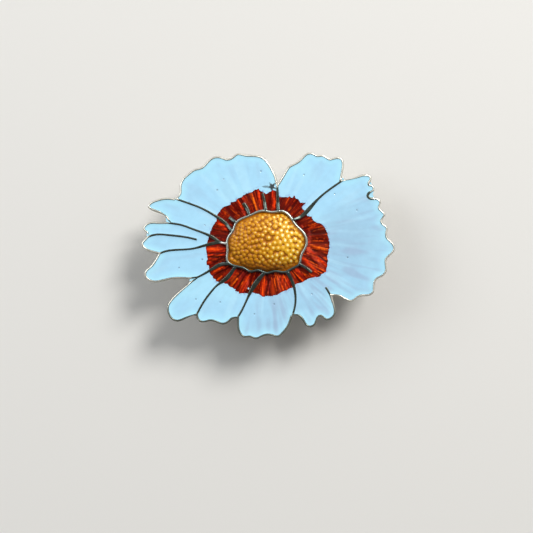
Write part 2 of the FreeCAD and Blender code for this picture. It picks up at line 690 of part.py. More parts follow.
def padded_strip(body, profile, name):
    """Widen an outline in the YZ plane to the strip's width, evenly both ways."""
    pad = body.newObject("PartDesign::Pad", name)
    pad.Profile = profile
    pad.Midplane = True
    pad.setExpression("Length", "sizes.strip_width")
    return pad


def wing_body(name, direction, leaf_depth):
    """A wing of the spring strip: a leaf across the post, and an ear that folds back to the hinge."""
    ear_y = size("ear_reach")
    ear_z = -size("ear_depth")
    lip = size("ear_lip")
    path = [
        (-size("leaf_overlap"), -leaf_depth),
        (size("leaf_root"), -leaf_depth),
        (size("shoulder_reach"), -size("shoulder_depth")),
        (ear_y - lip, ear_z),
        (ear_y, ear_z),
        (ear_y, ear_z + lip),
        (size("hinge_offset"), -size("hinge_depth")),
    ]
    path = [(direction * across, up) for across, up in path]
    outline = strip_outline(path, size("strip_thickness"))
    body = doc.addObject("PartDesign::Body", name)
    profile = body.newObject("Sketcher::SketchObject", f"{name}_side")
    profile.AttachmentSupport = [(origin_plane(body, "YZ_Plane"), "")]
    profile.MapMode = "FlatFace"
    for start, end in zip(outline, outline[1:] + outline[:1]):
        profile.addGeometry(straight(start, end), False)
    padded_strip(body, profile, f"{name}_strip")
    near = f"{-direction} * sizes.jaw_clearance"
    far = f"{direction} * sizes.clutch_bore_radius"
    notch = bound_sketch(body, f"{name}_notch", "XY_Plane", [
        ("-sizes.jaw_clearance", near),
        ("sizes.jaw_clearance", near),
        ("sizes.jaw_clearance", far),
        ("-sizes.jaw_clearance", far),
    ])
    cut_through(body, notch, f"{name}_notch_cut")
    return body


for side_name, side in (("left", -1), ("right", 1)):
    clutch_height = "-sizes.fabric_gap"
    post = turned_body(f"{side_name}_post_body", POST_SECTION)
    solder = turned_body(f"{side_name}_solder_body", SOLDER_SECTION)
    disc = turned_body(f"{side_name}_disc_body", DISC_SECTION)

    cage = turned_body(f"{side_name}_cage_body", CAGE_SECTION)
    windows = bound_sketch(cage, f"{side_name}_windows", "XZ_Plane", WINDOW)
    cut_through(cage, windows, f"{side_name}_windows_cut")

    bridge = doc.addObject("PartDesign::Body", f"{side_name}_bridge_body")
    bridge_side = bound_sketch(bridge, f"{side_name}_bridge_side", "YZ_Plane", BRIDGE_SECTION)
    padded_strip(bridge, bridge_side, f"{side_name}_bridge_strip")
    bridge_bore = circle_sketch(bridge, f"{side_name}_bridge_bore", "XY_Plane", "clutch_bore_radius")
    cut_through(bridge, bridge_bore, f"{side_name}_bridge_bore_cut")

    upper_wing = wing_body(f"{side_name}_upper_wing_body", 1, size("upper_leaf_depth"))
    lower_wing = wing_body(f"{side_name}_lower_wing_body", -1, size("lower_leaf_depth"))

    place_on_post(post, side, "0")
    place_on_post(solder, side, "0")
    for piece in (disc, cage, bridge, upper_wing, lower_wing):
        place_on_post(piece, side, clutch_height)

    node(f"{side_name}_post", post)
    node(f"{side_name}_post_solder", solder)
    node(f"{side_name}_clutch_disc", disc)
    node(f"{side_name}_clutch_cage", cage)
    node(f"{side_name}_clutch_bridge", bridge)
    node(f"{side_name}_clutch_upper_wing", upper_wing)
    node(f"{side_name}_clutch_lower_wing", lower_wing)

doc.recompute()

# ---------------------------------------------------------------------------
# Test every object, then write the sub-parts

failed = [item.Name for item in doc.Objects if {"Invalid", "Error"} & set(item.State)]
if failed:
    raise RuntimeError(f"objects failed: {failed}")
for item in NODES:
    if item.Shape.isNull() or not item.Shape.isValid() or not item.Shape.Solids:
        raise RuntimeError(f"{item.Label} has no valid solid")

os.makedirs("parts", exist_ok=True)
for item in NODES:
    item.Shape.exportStep(f"parts/{item.Label}.step")
    print(f"{item.Label}: {len(item.Shape.Solids)} solid(s), {item.Shape.Volume:.2f} mm3")
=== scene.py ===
# An enamel daisy hat pin: struck nickel, wet-look petals, a beaded amber dome and two butterfly clutches.
import math
import random

import bpy
import numpy as np
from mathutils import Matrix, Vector, geometry, kdtree, noise
from mathutils.bvhtree import BVHTree


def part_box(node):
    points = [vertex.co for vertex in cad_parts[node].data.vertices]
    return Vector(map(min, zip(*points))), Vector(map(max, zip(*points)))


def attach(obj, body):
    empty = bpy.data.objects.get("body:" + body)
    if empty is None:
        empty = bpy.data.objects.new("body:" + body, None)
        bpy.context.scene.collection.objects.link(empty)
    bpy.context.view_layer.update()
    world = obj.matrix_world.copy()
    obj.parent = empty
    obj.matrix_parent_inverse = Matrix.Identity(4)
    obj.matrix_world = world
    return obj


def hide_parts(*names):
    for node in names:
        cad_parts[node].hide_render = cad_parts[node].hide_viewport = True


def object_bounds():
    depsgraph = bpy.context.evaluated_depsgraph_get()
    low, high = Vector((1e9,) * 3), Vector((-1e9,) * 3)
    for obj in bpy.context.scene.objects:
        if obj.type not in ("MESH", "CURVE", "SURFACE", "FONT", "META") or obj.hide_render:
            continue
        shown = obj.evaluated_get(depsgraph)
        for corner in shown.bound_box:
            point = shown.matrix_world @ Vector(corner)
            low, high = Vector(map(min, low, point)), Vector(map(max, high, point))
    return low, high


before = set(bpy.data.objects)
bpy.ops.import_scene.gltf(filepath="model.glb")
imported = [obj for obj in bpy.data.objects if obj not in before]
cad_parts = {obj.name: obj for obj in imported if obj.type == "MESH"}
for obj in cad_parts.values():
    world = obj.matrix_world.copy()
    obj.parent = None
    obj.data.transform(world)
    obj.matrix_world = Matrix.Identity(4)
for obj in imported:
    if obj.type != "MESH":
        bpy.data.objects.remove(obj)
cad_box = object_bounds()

MM = 0.001

# the mesh work below is in millimetres
TILE = 2.5  # the side of the squares that the point tests work through
FAR = 2.0  # distances are measured no further than this
SAME_LINE = 0.02  # edges closer than this lie on the same line
SAME_LEVEL = 0.002  # and corners closer than this are at the same height
SHARP_DEGREES = 50

WALL_TOP = 1.6  # the tops of the CAD's walls
RING_TOP = 2.05  # and of its ring
RIM_BAND = 0.7  # how far in from the outline the metal counts as rim
RIM_ROUND = 0.34  # the radius that the rim's outer edge is worn to
BACK_ROUND = 0.3  # the same for the back's edge
FINE_BAND = 0.42  # how far in from its edge the back has fine triangles
FACE_FROM = 0.5  # metal higher than this is on the face, lower on the back

# how far apart the meshes' points are
CONTOUR_STEP = 0.14  # along the edges of the metal and of the dome
METAL_STEP = 0.085
BACK_STEP = 0.3
BACK_EDGE_STEP = 0.12
BRUSH_STEP = 0.16  # along the line where red meets white
WALL_STEP = 0.22  # along the walls round a petal's enamel
WHITE_STEP = 0.24
RED_STEP = 0.12
MARK_STEP = 0.09  # over the burr
SCRAP_STEP = 0.15
DOME_STEP = 0.115
SCRAP_EDGE_STEP = 0.2

# and how close to a line the points inside it may come
METAL_GAP = 0.05
METAL_REACH = 0.5  # the metal's own points come no further from a line than this
BACK_GAP = 0.06
WALL_GAP = 0.07
BRUSH_GAP = 0.05
SCRAP_GAP = 0.06
DOME_GAP = 0.05

PETALS = [
    "top_left", "upper_left", "middle_left", "lower_left", "left_corner",
    "bottom_left", "bottom", "right", "top_right",
]

# where the brushed red stops, counter-clockwise from the top wall, in mm
BRUSHED_EDGE = [
    (1.95, 10.2), (1.3, 10.45), (0.8, 10.1), (0.0, 9.65), (-0.6, 9.9), (-1.2, 10.3), (-1.6, 10.64),
    (-2.27, 10.5), (-2.77, 10.06), (-3.35, 9.9), (-4.07, 9.7), (-4.64, 9.27), (-5.2, 8.9),
    (-5.94, 8.55), (-6.2, 8.1), (-7.1, 7.97), (-7.24, 7.47), (-7.67, 7.32), (-8.4, 7.1),
    (-9.1, 6.6), (-9.47, 6.02), (-9.9, 5.38), (-10.12, 4.15), (-10.48, 3.65), (-10.84, 3.07),
    (-11.2, 2.28), (-11.4, 1.56), (-11.7, 0.6), (-11.9, -0.1), (-12.2, -1.25), (-12.1, -1.96),
    (-11.94, -2.8), (-11.84, -3.5), (-12.06, -3.98), (-12.0, -4.7), (-11.6, -4.84), (-11.4, -6.4),
    (-11.1, -6.7), (-10.76, -7.2), (-10.2, -7.8), (-9.97, -8.1), (-9.0, -8.2), (-8.46, -8.44),
    (-7.74, -8.59), (-7.3, -9.16), (-6.87, -9.23), (-6.2, -9.6), (-6.3, -10.0), (-5.5, -10.15),
    (-5.57, -10.5), (-4.85, -10.43), (-4.28, -10.46), (-3.87, -10.4), (-3.56, -10.53),
    (-2.84, -10.2), (-1.97, -10.53), (-1.25, -10.75), (-0.68, -11.15), (0.0, -11.0),
    (1.15, -11.0), (2.15, -10.75), (3.0, -10.2), (3.75, -9.9), (4.75, -9.5), (5.5, -9.2),
    (6.2, -8.45), (6.9, -8.3), (7.8, -7.95), (8.5, -7.45), (9.2, -7.3), (9.95, -7.15),
    (10.6, -7.15), (11.24, -6.57), (12.07, -6.05), (12.25, -5.0), (12.4, -3.8), (12.3, -2.8),
    (12.6, -1.95), (12.75, -1.1), (12.75, 0.05), (12.5, 0.9), (12.25, 1.9), (11.95, 2.6),
    (11.5, 3.2), (11.2, 3.57), (10.4, 3.8), (9.65, 4.15), (9.2, 4.7), (9.15, 5.08), (8.8, 5.1),
    (8.3, 5.23), (7.85, 6.25), (7.35, 6.6), (7.15, 6.95), (7.45, 7.3), (8.0, 7.82), (6.85, 7.9),
    (6.77, 8.04), (6.34, 8.6), (5.9, 8.85), (5.62, 9.33), (5.3, 8.85), (4.95, 8.9), (4.7, 9.15),
    (4.5, 9.0), (2.7, 9.0),
]

# tiny grey pits in the white: place and width in mm
PITS = [
    (-9.9, 10.4, 0.22), (-1.1, 14.2, 0.24), (-15.6, 7.9, 0.2), (-8.6, 12.6, 0.18), (-12.4, 3.3, 0.2),
    (-17.6, -5.3, 0.2), (-12.9, -3.6, 0.24), (-14.2, -11.6, 0.2), (-9.3, -12.2, 0.2), (1.6, -12.6, 0.22),
    (-2.4, -14.6, 0.2), (9.2, -10.6, 0.2), (16.4, -3.2, 0.24), (18.3, 6.4, 0.22), (13.8, 9.6, 0.2),
    (7.6, 13.5, 0.2),
]

# where a speck of white has run into the red, and where the white is most lavender
WHITE_SPECK = (-3.6, -9.45)
LAVENDER_PATCH = (16, 1)

# a painted highlight on the stem at the ring's left: its middle and half sizes
STEM_HIGHLIGHT = (-8.6, -0.35, 0.9, 0.45)

# the dark burr above the top wall: its middle, the faint smear to its left as place and half sizes,
# and a box round both
BURR = (1.2, 11.1)
SMEAR = (0.1, 11.1, 1.1, 0.32)
BURR_BOX = (-1.2, 10.1, 2.2, 12.4)

# how deep the pits go into the white, and how high the burr stands on it
PIT_DEPTH = 0.06
BURR_HEIGHT = 0.06

# how the enamel stands against the CAD's flat top
ENAMEL_DROP = 0.03
WHITE_RISE = 0.015  # the white from there
RED_DROP = 0.03  # the red from there
RIB_HEIGHT = 0.045

# all colours are display values: first the nickel's tones, some of them painted reflections, highlights and
# shade
WALL_TONE = (0.37, 0.39, 0.34)
# the walls where they climb to the ring: a painted reflection
WALL_REFLECTION_TONE = (0.38, 0.43, 0.415)
# a painted highlight on the stem
STEM_HIGHLIGHT_TONE = (0.86, 0.87, 0.84)
# the rim rubbed bright, with a painted highlight on it
RIM_WEAR_AND_HIGHLIGHT = (0.97, 0.96, 0.91)
# a painted reflection on the ring
RING_REFLECTION_TONE = (0.76, 0.79, 0.76)
BACK_TONE = (0.86, 0.85, 0.80)

# the white enamel's colours
WHITE = (0.672, 0.872, 0.98)
CLOUD = (0.705, 0.92, 1.0)
LOWER_RIGHT_GREY = (0.635, 0.785, 0.885)
LAVENDER = (0.62, 0.76, 0.86)
STREAK = (0.63, 0.735, 0.845)
BRIGHT_STREAK = (0.72, 0.90, 0.985)
FINE_STREAK = (0.62, 0.73, 0.84)
RIM_GLOW = (0.70, 0.93, 1.0)
SMUDGE = (0.50, 0.56, 0.76)
PIT_GREY = (0.42, 0.50, 0.58)
BURR_GREY = (0.26, 0.30, 0.31)

# the red enamel's
MAROON = (0.33, 0.015, 0.0)
WARM_RED = (0.66, 0.18, 0.02)
DEEP_RED = (0.24, 0.0, 0.0)
GLINT = (0.92, 0.36, 0.03)
RED_FRINGE = (0.36, 0.02, 0.03)
SPECK = (0.72, 0.86, 0.95)

# the dome's
HONEY = (0.77, 0.50, 0.05)
# the amber under painted light
LIT_GOLD = (0.93, 0.71, 0.16)
GAP_BROWN = (0.62, 0.36, 0.0)
BEAD_SHADE = (0.55, 0.29, 0.0)
BEAD_GLOW = (1.0, 0.84, 0.38)
BEAD_SPARK = (1.0, 0.97, 0.74)
# painted shade along the dome's bottom
DOME_BOTTOM_SHADE = (0.50, 0.26, 0.0)
RIM_BROWN = (0.62, 0.35, 0.0)

# and the struck ribs' under the red: the bright ones are the metal showing through with painted highlights on
# it, SHADE is painted shade in the grooves
RUST = (0.62, 0.19, 0.01)
FLAME = (0.98, 0.25, 0.06)
ORANGE = (1.0, 0.45, 0.04)
ROSE = (0.88, 0.36, 0.29)
SHADE = (0.13, 0.01, 0.0)
SMOKE = (0.25, 0.13, 0.12)

# each rib: where it starts and ends in mm, its width, its strength and its colour
RIBS = [
    (1.35, 10.5, 1.55, 7.0, 0.42, 0.95, FLAME),
    (-1.75, 10.5, -0.95, 6.5, 0.4, 0.85, FLAME),
    (-3.15, 9.9, -1.9, 6.5, 0.36, 1.0, ORANGE),
    (-4.85, 9.2, -4.25, 7.9, 0.3, 0.85, FLAME),
    (-5.9, 8.5, -4.4, 5.6, 0.38, 0.8, FLAME),
    (-4.7, 5.9, -4.3, 5.4, 0.3, 0.5, ROSE),
    (-7.3, 7.2, -5.6, 5.0, 0.36, 0.75, RUST),
    (-9.0, 6.7, -7.8, 5.4, 0.5, 0.6, RUST),
    (-10.1, 4.3, -8.2, 2.7, 0.45, 0.85, FLAME),
    (-9.9, 2.9, -8.6, 1.2, 0.9, 0.35, RUST),
    (-12.2, -1.45, -8.4, -1.35, 0.4, 0.6, FLAME),
    (-12.1, -2.0, -8.6, -1.95, 0.35, 0.75, FLAME),
    (-12.0, -2.7, -8.5, -2.65, 0.35, 0.65, FLAME),
    (-11.9, -3.45, -10.4, -3.5, 0.4, 0.9, FLAME),
    (-12.0, -4.2, -11.3, -4.25, 0.4, 0.75, FLAME),
    (-12.0, -2.34, -8.6, -2.3, 0.16, 0.8, SHADE),
    (-12.0, -3.1, -8.6, -3.05, 0.2, 0.8, SHADE),
    (-10.5, -4.0, -8.5, -3.6, 0.6, 0.6, SHADE),
    (-11.3, -6.5, -8.6, -5.2, 0.4, 0.6, FLAME),
    (-11.0, -7.0, -8.9, -5.8, 0.22, 0.5, SHADE),
    (-10.7, -7.4, -8.6, -6.2, 0.3, 0.55, RUST),
    (-11.0, -6.9, -10.3, -6.4, 0.2, 0.5, ROSE),
    (-8.2, -8.3, -6.2, -6.2, 0.5, 0.65, FLAME),
    (-7.2, -9.0, -6.1, -7.7, 0.4, 0.85, ORANGE),
    (-6.3, -9.6, -5.2, -7.6, 0.4, 0.6, FLAME),
    (-7.3, -8.7, -5.6, -6.7, 0.16, 0.7, SHADE),
    (-6.0, -9.5, -4.8, -7.8, 0.16, 0.7, SHADE),
    (-5.2, -7.2, -4.8, -6.6, 0.5, 0.35, ROSE),
    (-4.9, -10.3, -3.8, -7.3, 0.6, 0.85, FLAME),
    (-4.1, -9.4, -3.6, -7.9, 0.3, 0.6, ROSE),
    (-3.4, -9.8, -2.9, -8.2, 0.3, 0.5, SHADE),
    (-2.2, -9.9, -1.0, -7.9, 0.5, 0.4, RUST),
    (-0.8, -11.1, -0.3, -8.4, 0.7, 0.75, FLAME),
    (-0.2, -10.9, 0.4, -8.0, 0.14, 0.7, SHADE),
    (0.35, -10.4, 0.8, -8.0, 0.16, 0.8, ROSE),
    (1.6, -10.8, 1.7, -8.0, 0.8, 0.6, RUST),
    (2.7, -9.4, 2.5, -7.5, 0.5, 0.65, ROSE),
    (3.3, -9.9, 3.2, -7.4, 0.36, 0.85, FLAME),
    (3.85, -9.2, 3.85, -7.7, 0.14, 0.75, ROSE),
    (3.0, -7.0, 4.3, -7.1, 0.45, 0.6, FLAME),
    (4.5, -9.3, 4.2, -7.6, 0.4, 0.8, FLAME),
    (7.7, -8.1, 6.1, -5.6, 0.62, 0.95, FLAME),
    (8.9, -7.5, 7.1, -5.3, 0.34, 0.6, RUST),
    (9.9, -7.2, 9.1, -6.8, 0.4, 0.6, FLAME),
    (10.1, -6.0, 7.6, -3.4, 0.36, 0.8, FLAME),
    (10.3, -5.2, 8.0, -2.6, 0.26, 0.6, SMOKE),
    (11.3, -5.2, 8.5, -1.6, 0.5, 0.8, ROSE),
    (12.1, -4.7, 8.9, -1.9, 0.4, 0.95, FLAME),
    (12.0, -3.9, 10.8, -3.0, 0.3, 0.7, SHADE),
    (11.9, -3.6, 10.9, -2.85, 0.12, 0.6, ROSE),
    (12.4, -2.9, 9.8, -1.7, 0.4, 0.6, SHADE),
    (12.4, -1.7, 9.2, -0.8, 0.34, 0.9, ORANGE),
    (12.5, -0.4, 9.6, -0.1, 0.5, 0.5, SMOKE),
    (12.4, 0.95, 9.1, 0.9, 0.4, 0.6, RUST),
    (12.0, 1.35, 9.1, 1.3, 0.3, 0.7, RUST),
    (12.0, 2.1, 9.0, 1.8, 0.6, 0.65, SHADE),
    (11.8, 2.7, 9.2, 2.3, 0.35, 0.6, SMOKE),
    (11.2, 3.2, 8.6, 2.4, 0.26, 0.75, RUST),
    (9.9, 3.7, 7.6, 3.7, 0.7, 0.55, RUST),
    (8.5, -2.2, 8.6, 1.5, 0.55, 0.75, ROSE),
    (7.4, 3.0, 7.2, 3.2, 0.2, 0.6, ROSE),
    (7.7, 2.0, 8.4, 1.0, 0.4, 0.5, SMOKE),
    (4.8, 6.7, 4.7, 6.6, 0.36, 0.85, ORANGE),
    (4.1, 8.3, 3.5, 6.9, 0.7, 0.45, RUST),
    (7.2, 6.3, 6.2, 5.3, 0.4, 0.5, RUST),
]


def linear(display):
    """Display values as the linear light that the shaders work in."""
    display = np.asarray(display, float)
    return np.where(display <= 0.04045, display / 12.92, ((display + 0.055) / 1.055) ** 2.4)


def smoothstep(value, low, high):
    """0 up to low, 1 from high on, and a smooth climb between."""
    fraction = np.clip((value - low) / (high - low), 0, 1)
    return fraction * fraction * (3 - 2 * fraction)


def tiles_of(points):
    """The points' indices, gathered by square tile."""
    keys = np.floor(points / TILE).astype(int)
    order = np.lexsort(keys.T)
    breaks = np.flatnonzero(np.any(np.diff(keys[order], axis=0), axis=1)) + 1
    return np.split(order, breaks)


def edges_near(edges, low, high):
    """The edges whose boxes meet a box."""
    lows = np.minimum(edges[:, :2], edges[:, 2:])
    highs = np.maximum(edges[:, :2], edges[:, 2:])
    return edges[np.all((lows <= high) & (highs >= low), axis=1)]


def crossings_odd(points, edges):
    """Whether a line to the right from each point crosses the edges an odd number of times."""
    x, y = points[:, 0:1], points[:, 1:2]
    x1, y1, x2, y2 = edges.T
    straddles = (y1 > y) != (y2 > y)
    with np.errstate(divide="ignore", invalid="ignore"):
        crossing = x1 + (y - y1) * (x2 - x1) / (y2 - y1)
    return (straddles & (x < crossing)).sum(axis=1) % 2 == 1


def nearest_edge(points, edges):
    """Each point's distance to the nearest of the edges."""
    starts = edges[:, :2]
    along = edges[:, 2:] - starts
    lengths = np.maximum((along ** 2).sum(axis=1), 1e-12)
    offset = points[:, None, :] - starts[None]
    fraction = np.clip((offset * along).sum(axis=2) / lengths, 0, 1)
    return np.sqrt(((offset - fraction[..., None] * along) ** 2).sum(axis=2).min(axis=1))


def inside(points, edges):
    """Which points lie within the closed edges."""
    found = np.zeros(len(points), bool)
    for chosen in tiles_of(points):
        tile = points[chosen]
        beside = edges_near(edges, tile.min(axis=0), (math.inf, tile[:, 1].max()))
        found[chosen] = crossings_odd(tile, beside)
    return found


def distance(points, edges):
    """Each point's distance to the nearest edge, in mm, up to FAR."""
    found = np.full(len(points), FAR)
    for chosen in tiles_of(points):
        tile = points[chosen]
        near = edges_near(edges, tile.min(axis=0) - FAR, tile.max(axis=0) + FAR)
        if len(near):
            found[chosen] = np.minimum(nearest_edge(tile, near), FAR)
    return found


def flat_edges(node, height):
    """The edges, in mm, that bound a CAD node's flat faces at a height."""
    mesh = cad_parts[node].data
    corners = [tuple(round(c / MM, 4) for c in vertex.co) for vertex in mesh.vertices]
    uses = {}
    for polygon in mesh.polygons:
        ring = [corners[i] for i in polygon.vertices]
        if any(abs(z - height) > SAME_LEVEL for _, _, z in ring):
            continue
        for a, b in zip(ring, ring[1:] + ring[:1]):
            edge = (*min(a, b)[:2], *max(a, b)[:2])
            uses[edge] = uses.get(edge, 0) + 1
    return np.array([edge for edge, count in uses.items() if count == 1])


def cut_up(edges, longest):
    """The same edges in pieces no longer than a length."""
    pieces = []
    for x1, y1, x2, y2 in edges:
        count = max(1, math.ceil(math.hypot(x2 - x1, y2 - y1) / longest))
        xs = np.linspace(x1, x2, count + 1)
        ys = np.linspace(y1, y2, count + 1)
        pieces += list(zip(xs[:-1], ys[:-1], xs[1:], ys[1:]))
    return np.array(pieces)


def loop_edges(points):
    """The edges of a closed loop through some points, each as x1, y1, x2, y2."""
    points = np.asarray(points, float)
    return np.hstack([points, np.roll(points, -1, axis=0)])


def grid_over(edges, spacing):
    """Points of a triangular grid over the box of some edges."""
    ends = edges.reshape(-1, 2)
    low, high = ends.min(axis=0), ends.max(axis=0)
    rows = np.arange(low[1], high[1], spacing * math.sqrt(3) / 2)
    columns = np.arange(low[0], high[0], spacing)
    return np.array([(x + spacing / 2 * (row % 2), y) for row, y in enumerate(rows) for x in columns])


def triangulate(edges, points):
    """2-D points and triangles that keep every edge."""
    corners, index = np.unique(np.round(edges.reshape(-1, 2), 5), axis=0, return_inverse=True)
    coordinates = [Vector(point) for point in np.vstack([corners, points])]
    pairs = index.reshape(-1, 2).tolist()
    flat, _, triangles, *_ = geometry.delaunay_2d_cdt(coordinates, pairs, [], 0, 1e-4, False)
    return np.array([tuple(point) for point in flat]), np.array(triangles)


def rim_of(triangles):
    """The directed edges that only one triangle uses."""
    directed = np.vstack([triangles[:, [0, 1]], triangles[:, [1, 2]], triangles[:, [2, 0]]])
    known = {tuple(edge) for edge in directed}
    return [edge for edge in known if edge[::-1] not in known]


def new_mesh(name, vertices, faces):
    """A mesh object from millimetres."""
    mesh = bpy.data.meshes.new(name)
    mesh.from_pydata((np.asarray(vertices) * MM).tolist(), [], faces)
    mesh.validate()
    made = bpy.data.objects.new(name, mesh)
    bpy.context.scene.collection.objects.link(made)
    return made


def paint(piece, name, colours):
    """A colour for each vertex, given as display values."""
    layer = piece.data.color_attributes.new(name, "FLOAT_COLOR", "POINT")
    values = np.ones((len(colours), 4))
    values[:, :3] = linear(np.clip(colours, 0, 1))
    layer.data.foreach_set("color", values.ravel())


def shade(piece):
    """Smooth shading that keeps the sharp edges sharp."""
    piece.data.shade_smooth()
    piece.data.set_sharp_from_angle(angle=math.radians(SHARP_DEGREES))


def closed_relief(name, flat, triangles, tops, bottom):
    """A solid with a modelled top over a flat bottom. Its first vertices are the top's."""
    used, index = np.unique(triangles, return_inverse=True)
    faces = index.reshape(-1, 3)
    count = len(used)
    top = np.column_stack([flat[used], tops[used]])
    under = np.column_stack([flat[used], np.full(count, bottom)])
    sides = [(b, a, a + count, b + count) for a, b in rim_of(faces)]
    shell = faces.tolist() + (faces[:, ::-1] + count).tolist() + sides
    made = new_mesh(name, np.vstack([top, under]), shell)
    shade(made)
    return made, used


def paint_relief(piece, colours):
    """The same colours on a relief's top and bottom."""
    paint(piece, "enamel", np.vstack([colours, colours]))


def noise_at(points, scale, seed):
    """Smooth noise from about -1 to 1 at each point; scale is in features per unit."""
    return np.array([noise.noise((x * scale[0], y * scale[1], seed)) for x, y in points])


def polar(points):
    """Each point's angle and its distance from the middle."""
    return np.arctan2(points[:, 1], points[:, 0]), np.hypot(points[:, 0], points[:, 1])


def from_spot(points, x, y, wide=1, tall=1):
    """Each point's distance from a spot, as a share of the spot's half sizes."""
    return np.hypot((points[:, 0] - x) / wide, (points[:, 1] - y) / tall)


def radial_fibres(points, fineness, run, seed):
    """Noise drawn out along lines from the centre."""
    angle, radius = polar(points)
    around = np.column_stack([np.cos(angle), np.sin(angle)]) * fineness
    return np.array([noise.noise((x, y, r / run + seed)) for (x, y), r in zip(around, radius)])


def blend_to(colours, towards, weight):
    """Colours moved towards another one by a weight for each point."""
    return colours + (np.asarray(towards) - colours) * np.clip(weight, 0, 1)[:, None]


# ---------------------------------------------------------------- the CAD's own heights and outlines
cell_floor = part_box("top_left_white_enamel")[0].z / MM
enamel_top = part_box("top_left_white_enamel")[1].z / MM
base_levels = sorted({round(v.co.z / MM, 3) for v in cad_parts["struck_base"].data.vertices})
outline = flat_edges("struck_base", base_levels[0])
posts = [sum(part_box(f"{side}_post"), Vector()) / 2 / MM for side in ("left", "right")]

cells = {}
for petal in PETALS:
    white = flat_edges(f"{petal}_white_enamel", enamel_top)
    red = flat_edges(f"{petal}_red_enamel", enamel_top)
    cells[petal] = (white, red)
notches = flat_edges("notch_enamel", enamel_top)
folds = flat_edges("folded_edge_enamel", enamel_top)
ring_edges = flat_edges("struck_base", RING_TOP)


def midpoints(edges):
    return (edges[:, :2] + edges[:, 2:]) / 2


def in_cell(points, petal):
    """Which points lie in a petal's cell, or on the line where its colours meet."""
    white, red = cells[petal]
    shared = white[distance(midpoints(white), red) <= SAME_LINE]
    return inside(points, white) | inside(points, red) | (distance(points, shared) < SAME_LINE)


def outer_edges(white, red):
    """A cell's own edges: its two colours' edges without the line where they meet."""
    keep_white = distance(midpoints(white), red) > SAME_LINE
    keep_red = distance(midpoints(red), white) > SAME_LINE
    return np.vstack([white[keep_white], red[keep_red]])


cell_edges = {petal: outer_edges(*pair) for petal, pair in cells.items()}


def split_ring():
    """The ring's edges as two loops, the inner one first."""
    neighbours = {}
    for edge in ring_edges:
        a, b = tuple(edge[:2]), tuple(edge[2:])
        neighbours.setdefault(a, []).append(b)
        neighbours.setdefault(b, []).append(a)
    loops = []
    left = set(neighbours)
    while left:
        point = min(left)
        loop = []
        while point in left:
            left.discard(point)
            loop.append(point)
            point = next((other for other in neighbours[point] if other in left), point)
        loops.append(loop_edges(loop))
    return sorted(loops, key=lambda loop: np.hypot(*midpoints(loop).T).mean())


ring_inner, ring_outer = split_ring()

brushed = []
for x, y, _, _ in cut_up(loop_edges(BRUSHED_EDGE), BRUSH_STEP):
    out = Vector((x, y)).normalized()
    ragged = 0.1 * noise.noise((x * 2.2, y * 2.2, 4)) + 0.12 * noise.noise((x * 5, y * 5, 9))
    brushed.append((x + out.x * ragged, y + out.y * ragged))
brushed_edges = loop_edges(brushed)


# ---------------------------------------------------------------- struck metal
def rounded(depth, width):
    """0 at an edge and 1 from a width inwards, as a quarter circle."""
    fraction = np.clip(depth / width, 0, 1)
    return np.sqrt(1 - (1 - fraction) ** 2)


all_cells = np.vstack(list(cell_edges.values()) + [notches, folds, ring_inner])


def metal_height(points):
    """The top of the walls, ring and rim over each point."""
    from_cell = distance(points, all_cells)
    from_outline = distance(points, outline)
    to_ring = np.where(inside(points, ring_outer), 0, distance(points, ring_outer))
    climb = 1 - smoothstep(to_ring, 0, 1.7)
    on_ring = to_ring == 0
    at_edge = from_outline < RIM_BAND
    crest = WALL_TOP + (RING_TOP - WALL_TOP) * climb
    drop = np.select([at_edge, on_ring], [0.16, 0.22], 0.07 + 0.05 * climb)
    reach = np.select([at_edge, on_ring], [0.24, 0.25], 0.13)
    wall = crest - drop * (1 - rounded(from_cell, reach))
    rim = WALL_TOP - RIM_ROUND * (1 - rounded(from_outline, RIM_ROUND))
    ripple = 0.006 * noise_at(points, (1.3, 1.3), 3)
    on_round = from_outline < RIM_ROUND + 0.01
    return np.minimum(np.minimum(wall, np.where(on_round, rim, math.inf)) + ripple, crest)


def plating_and_sheen(points):
    """The nickel's tone seen from the front: dark walls with a painted reflection where they climb to the
    ring and a painted highlight on the stem, the rim rubbed bright under a painted highlight that painted
    shade dims towards the bottom, and a painted reflection on the ring, left out at its bottom.
    """
    from_outline = distance(points, outline)
    from_cell = distance(points, all_cells)
    on_ring = inside(points, ring_outer)
    to_ring = np.where(on_ring, 0, distance(points, ring_outer))
    tones = np.tile(WALL_TONE, (len(points), 1))
    # a painted reflection on the walls where they climb to the ring
    tones = blend_to(tones, WALL_REFLECTION_TONE, 1 - smoothstep(to_ring, 0.5, 3.0))
    # a painted highlight on the stem
    tones = blend_to(tones, STEM_HIGHLIGHT_TONE, 1 - smoothstep(from_spot(points, *STEM_HIGHLIGHT), 0.6, 1.0))
    # the rim rubbed bright, with a painted highlight on the wear
    rim_wear_and_highlight = 1 - smoothstep(from_outline, 0.45, 0.75)
    # painted shade: the rim's highlight dims towards the bottom
    rim_wear_and_highlight *= 0.3 + 0.7 * smoothstep(points[:, 1], -15, -11.5)
    rim_wear_and_highlight *= smoothstep(from_cell, 0.03, 0.1) * (0.45 + 0.55 * smoothstep(from_outline, 0.03, 0.12))
    tones = blend_to(tones, RIM_WEAR_AND_HIGHLIGHT, rim_wear_and_highlight)
    # a painted reflection on the ring, left out at its bottom as painted shade
    ring_reflection = 0.9 * smoothstep(points[:, 1], -4.9, -3.0)
    return blend_to(tones, RING_REFLECTION_TONE, np.where(on_ring, ring_reflection, 0))


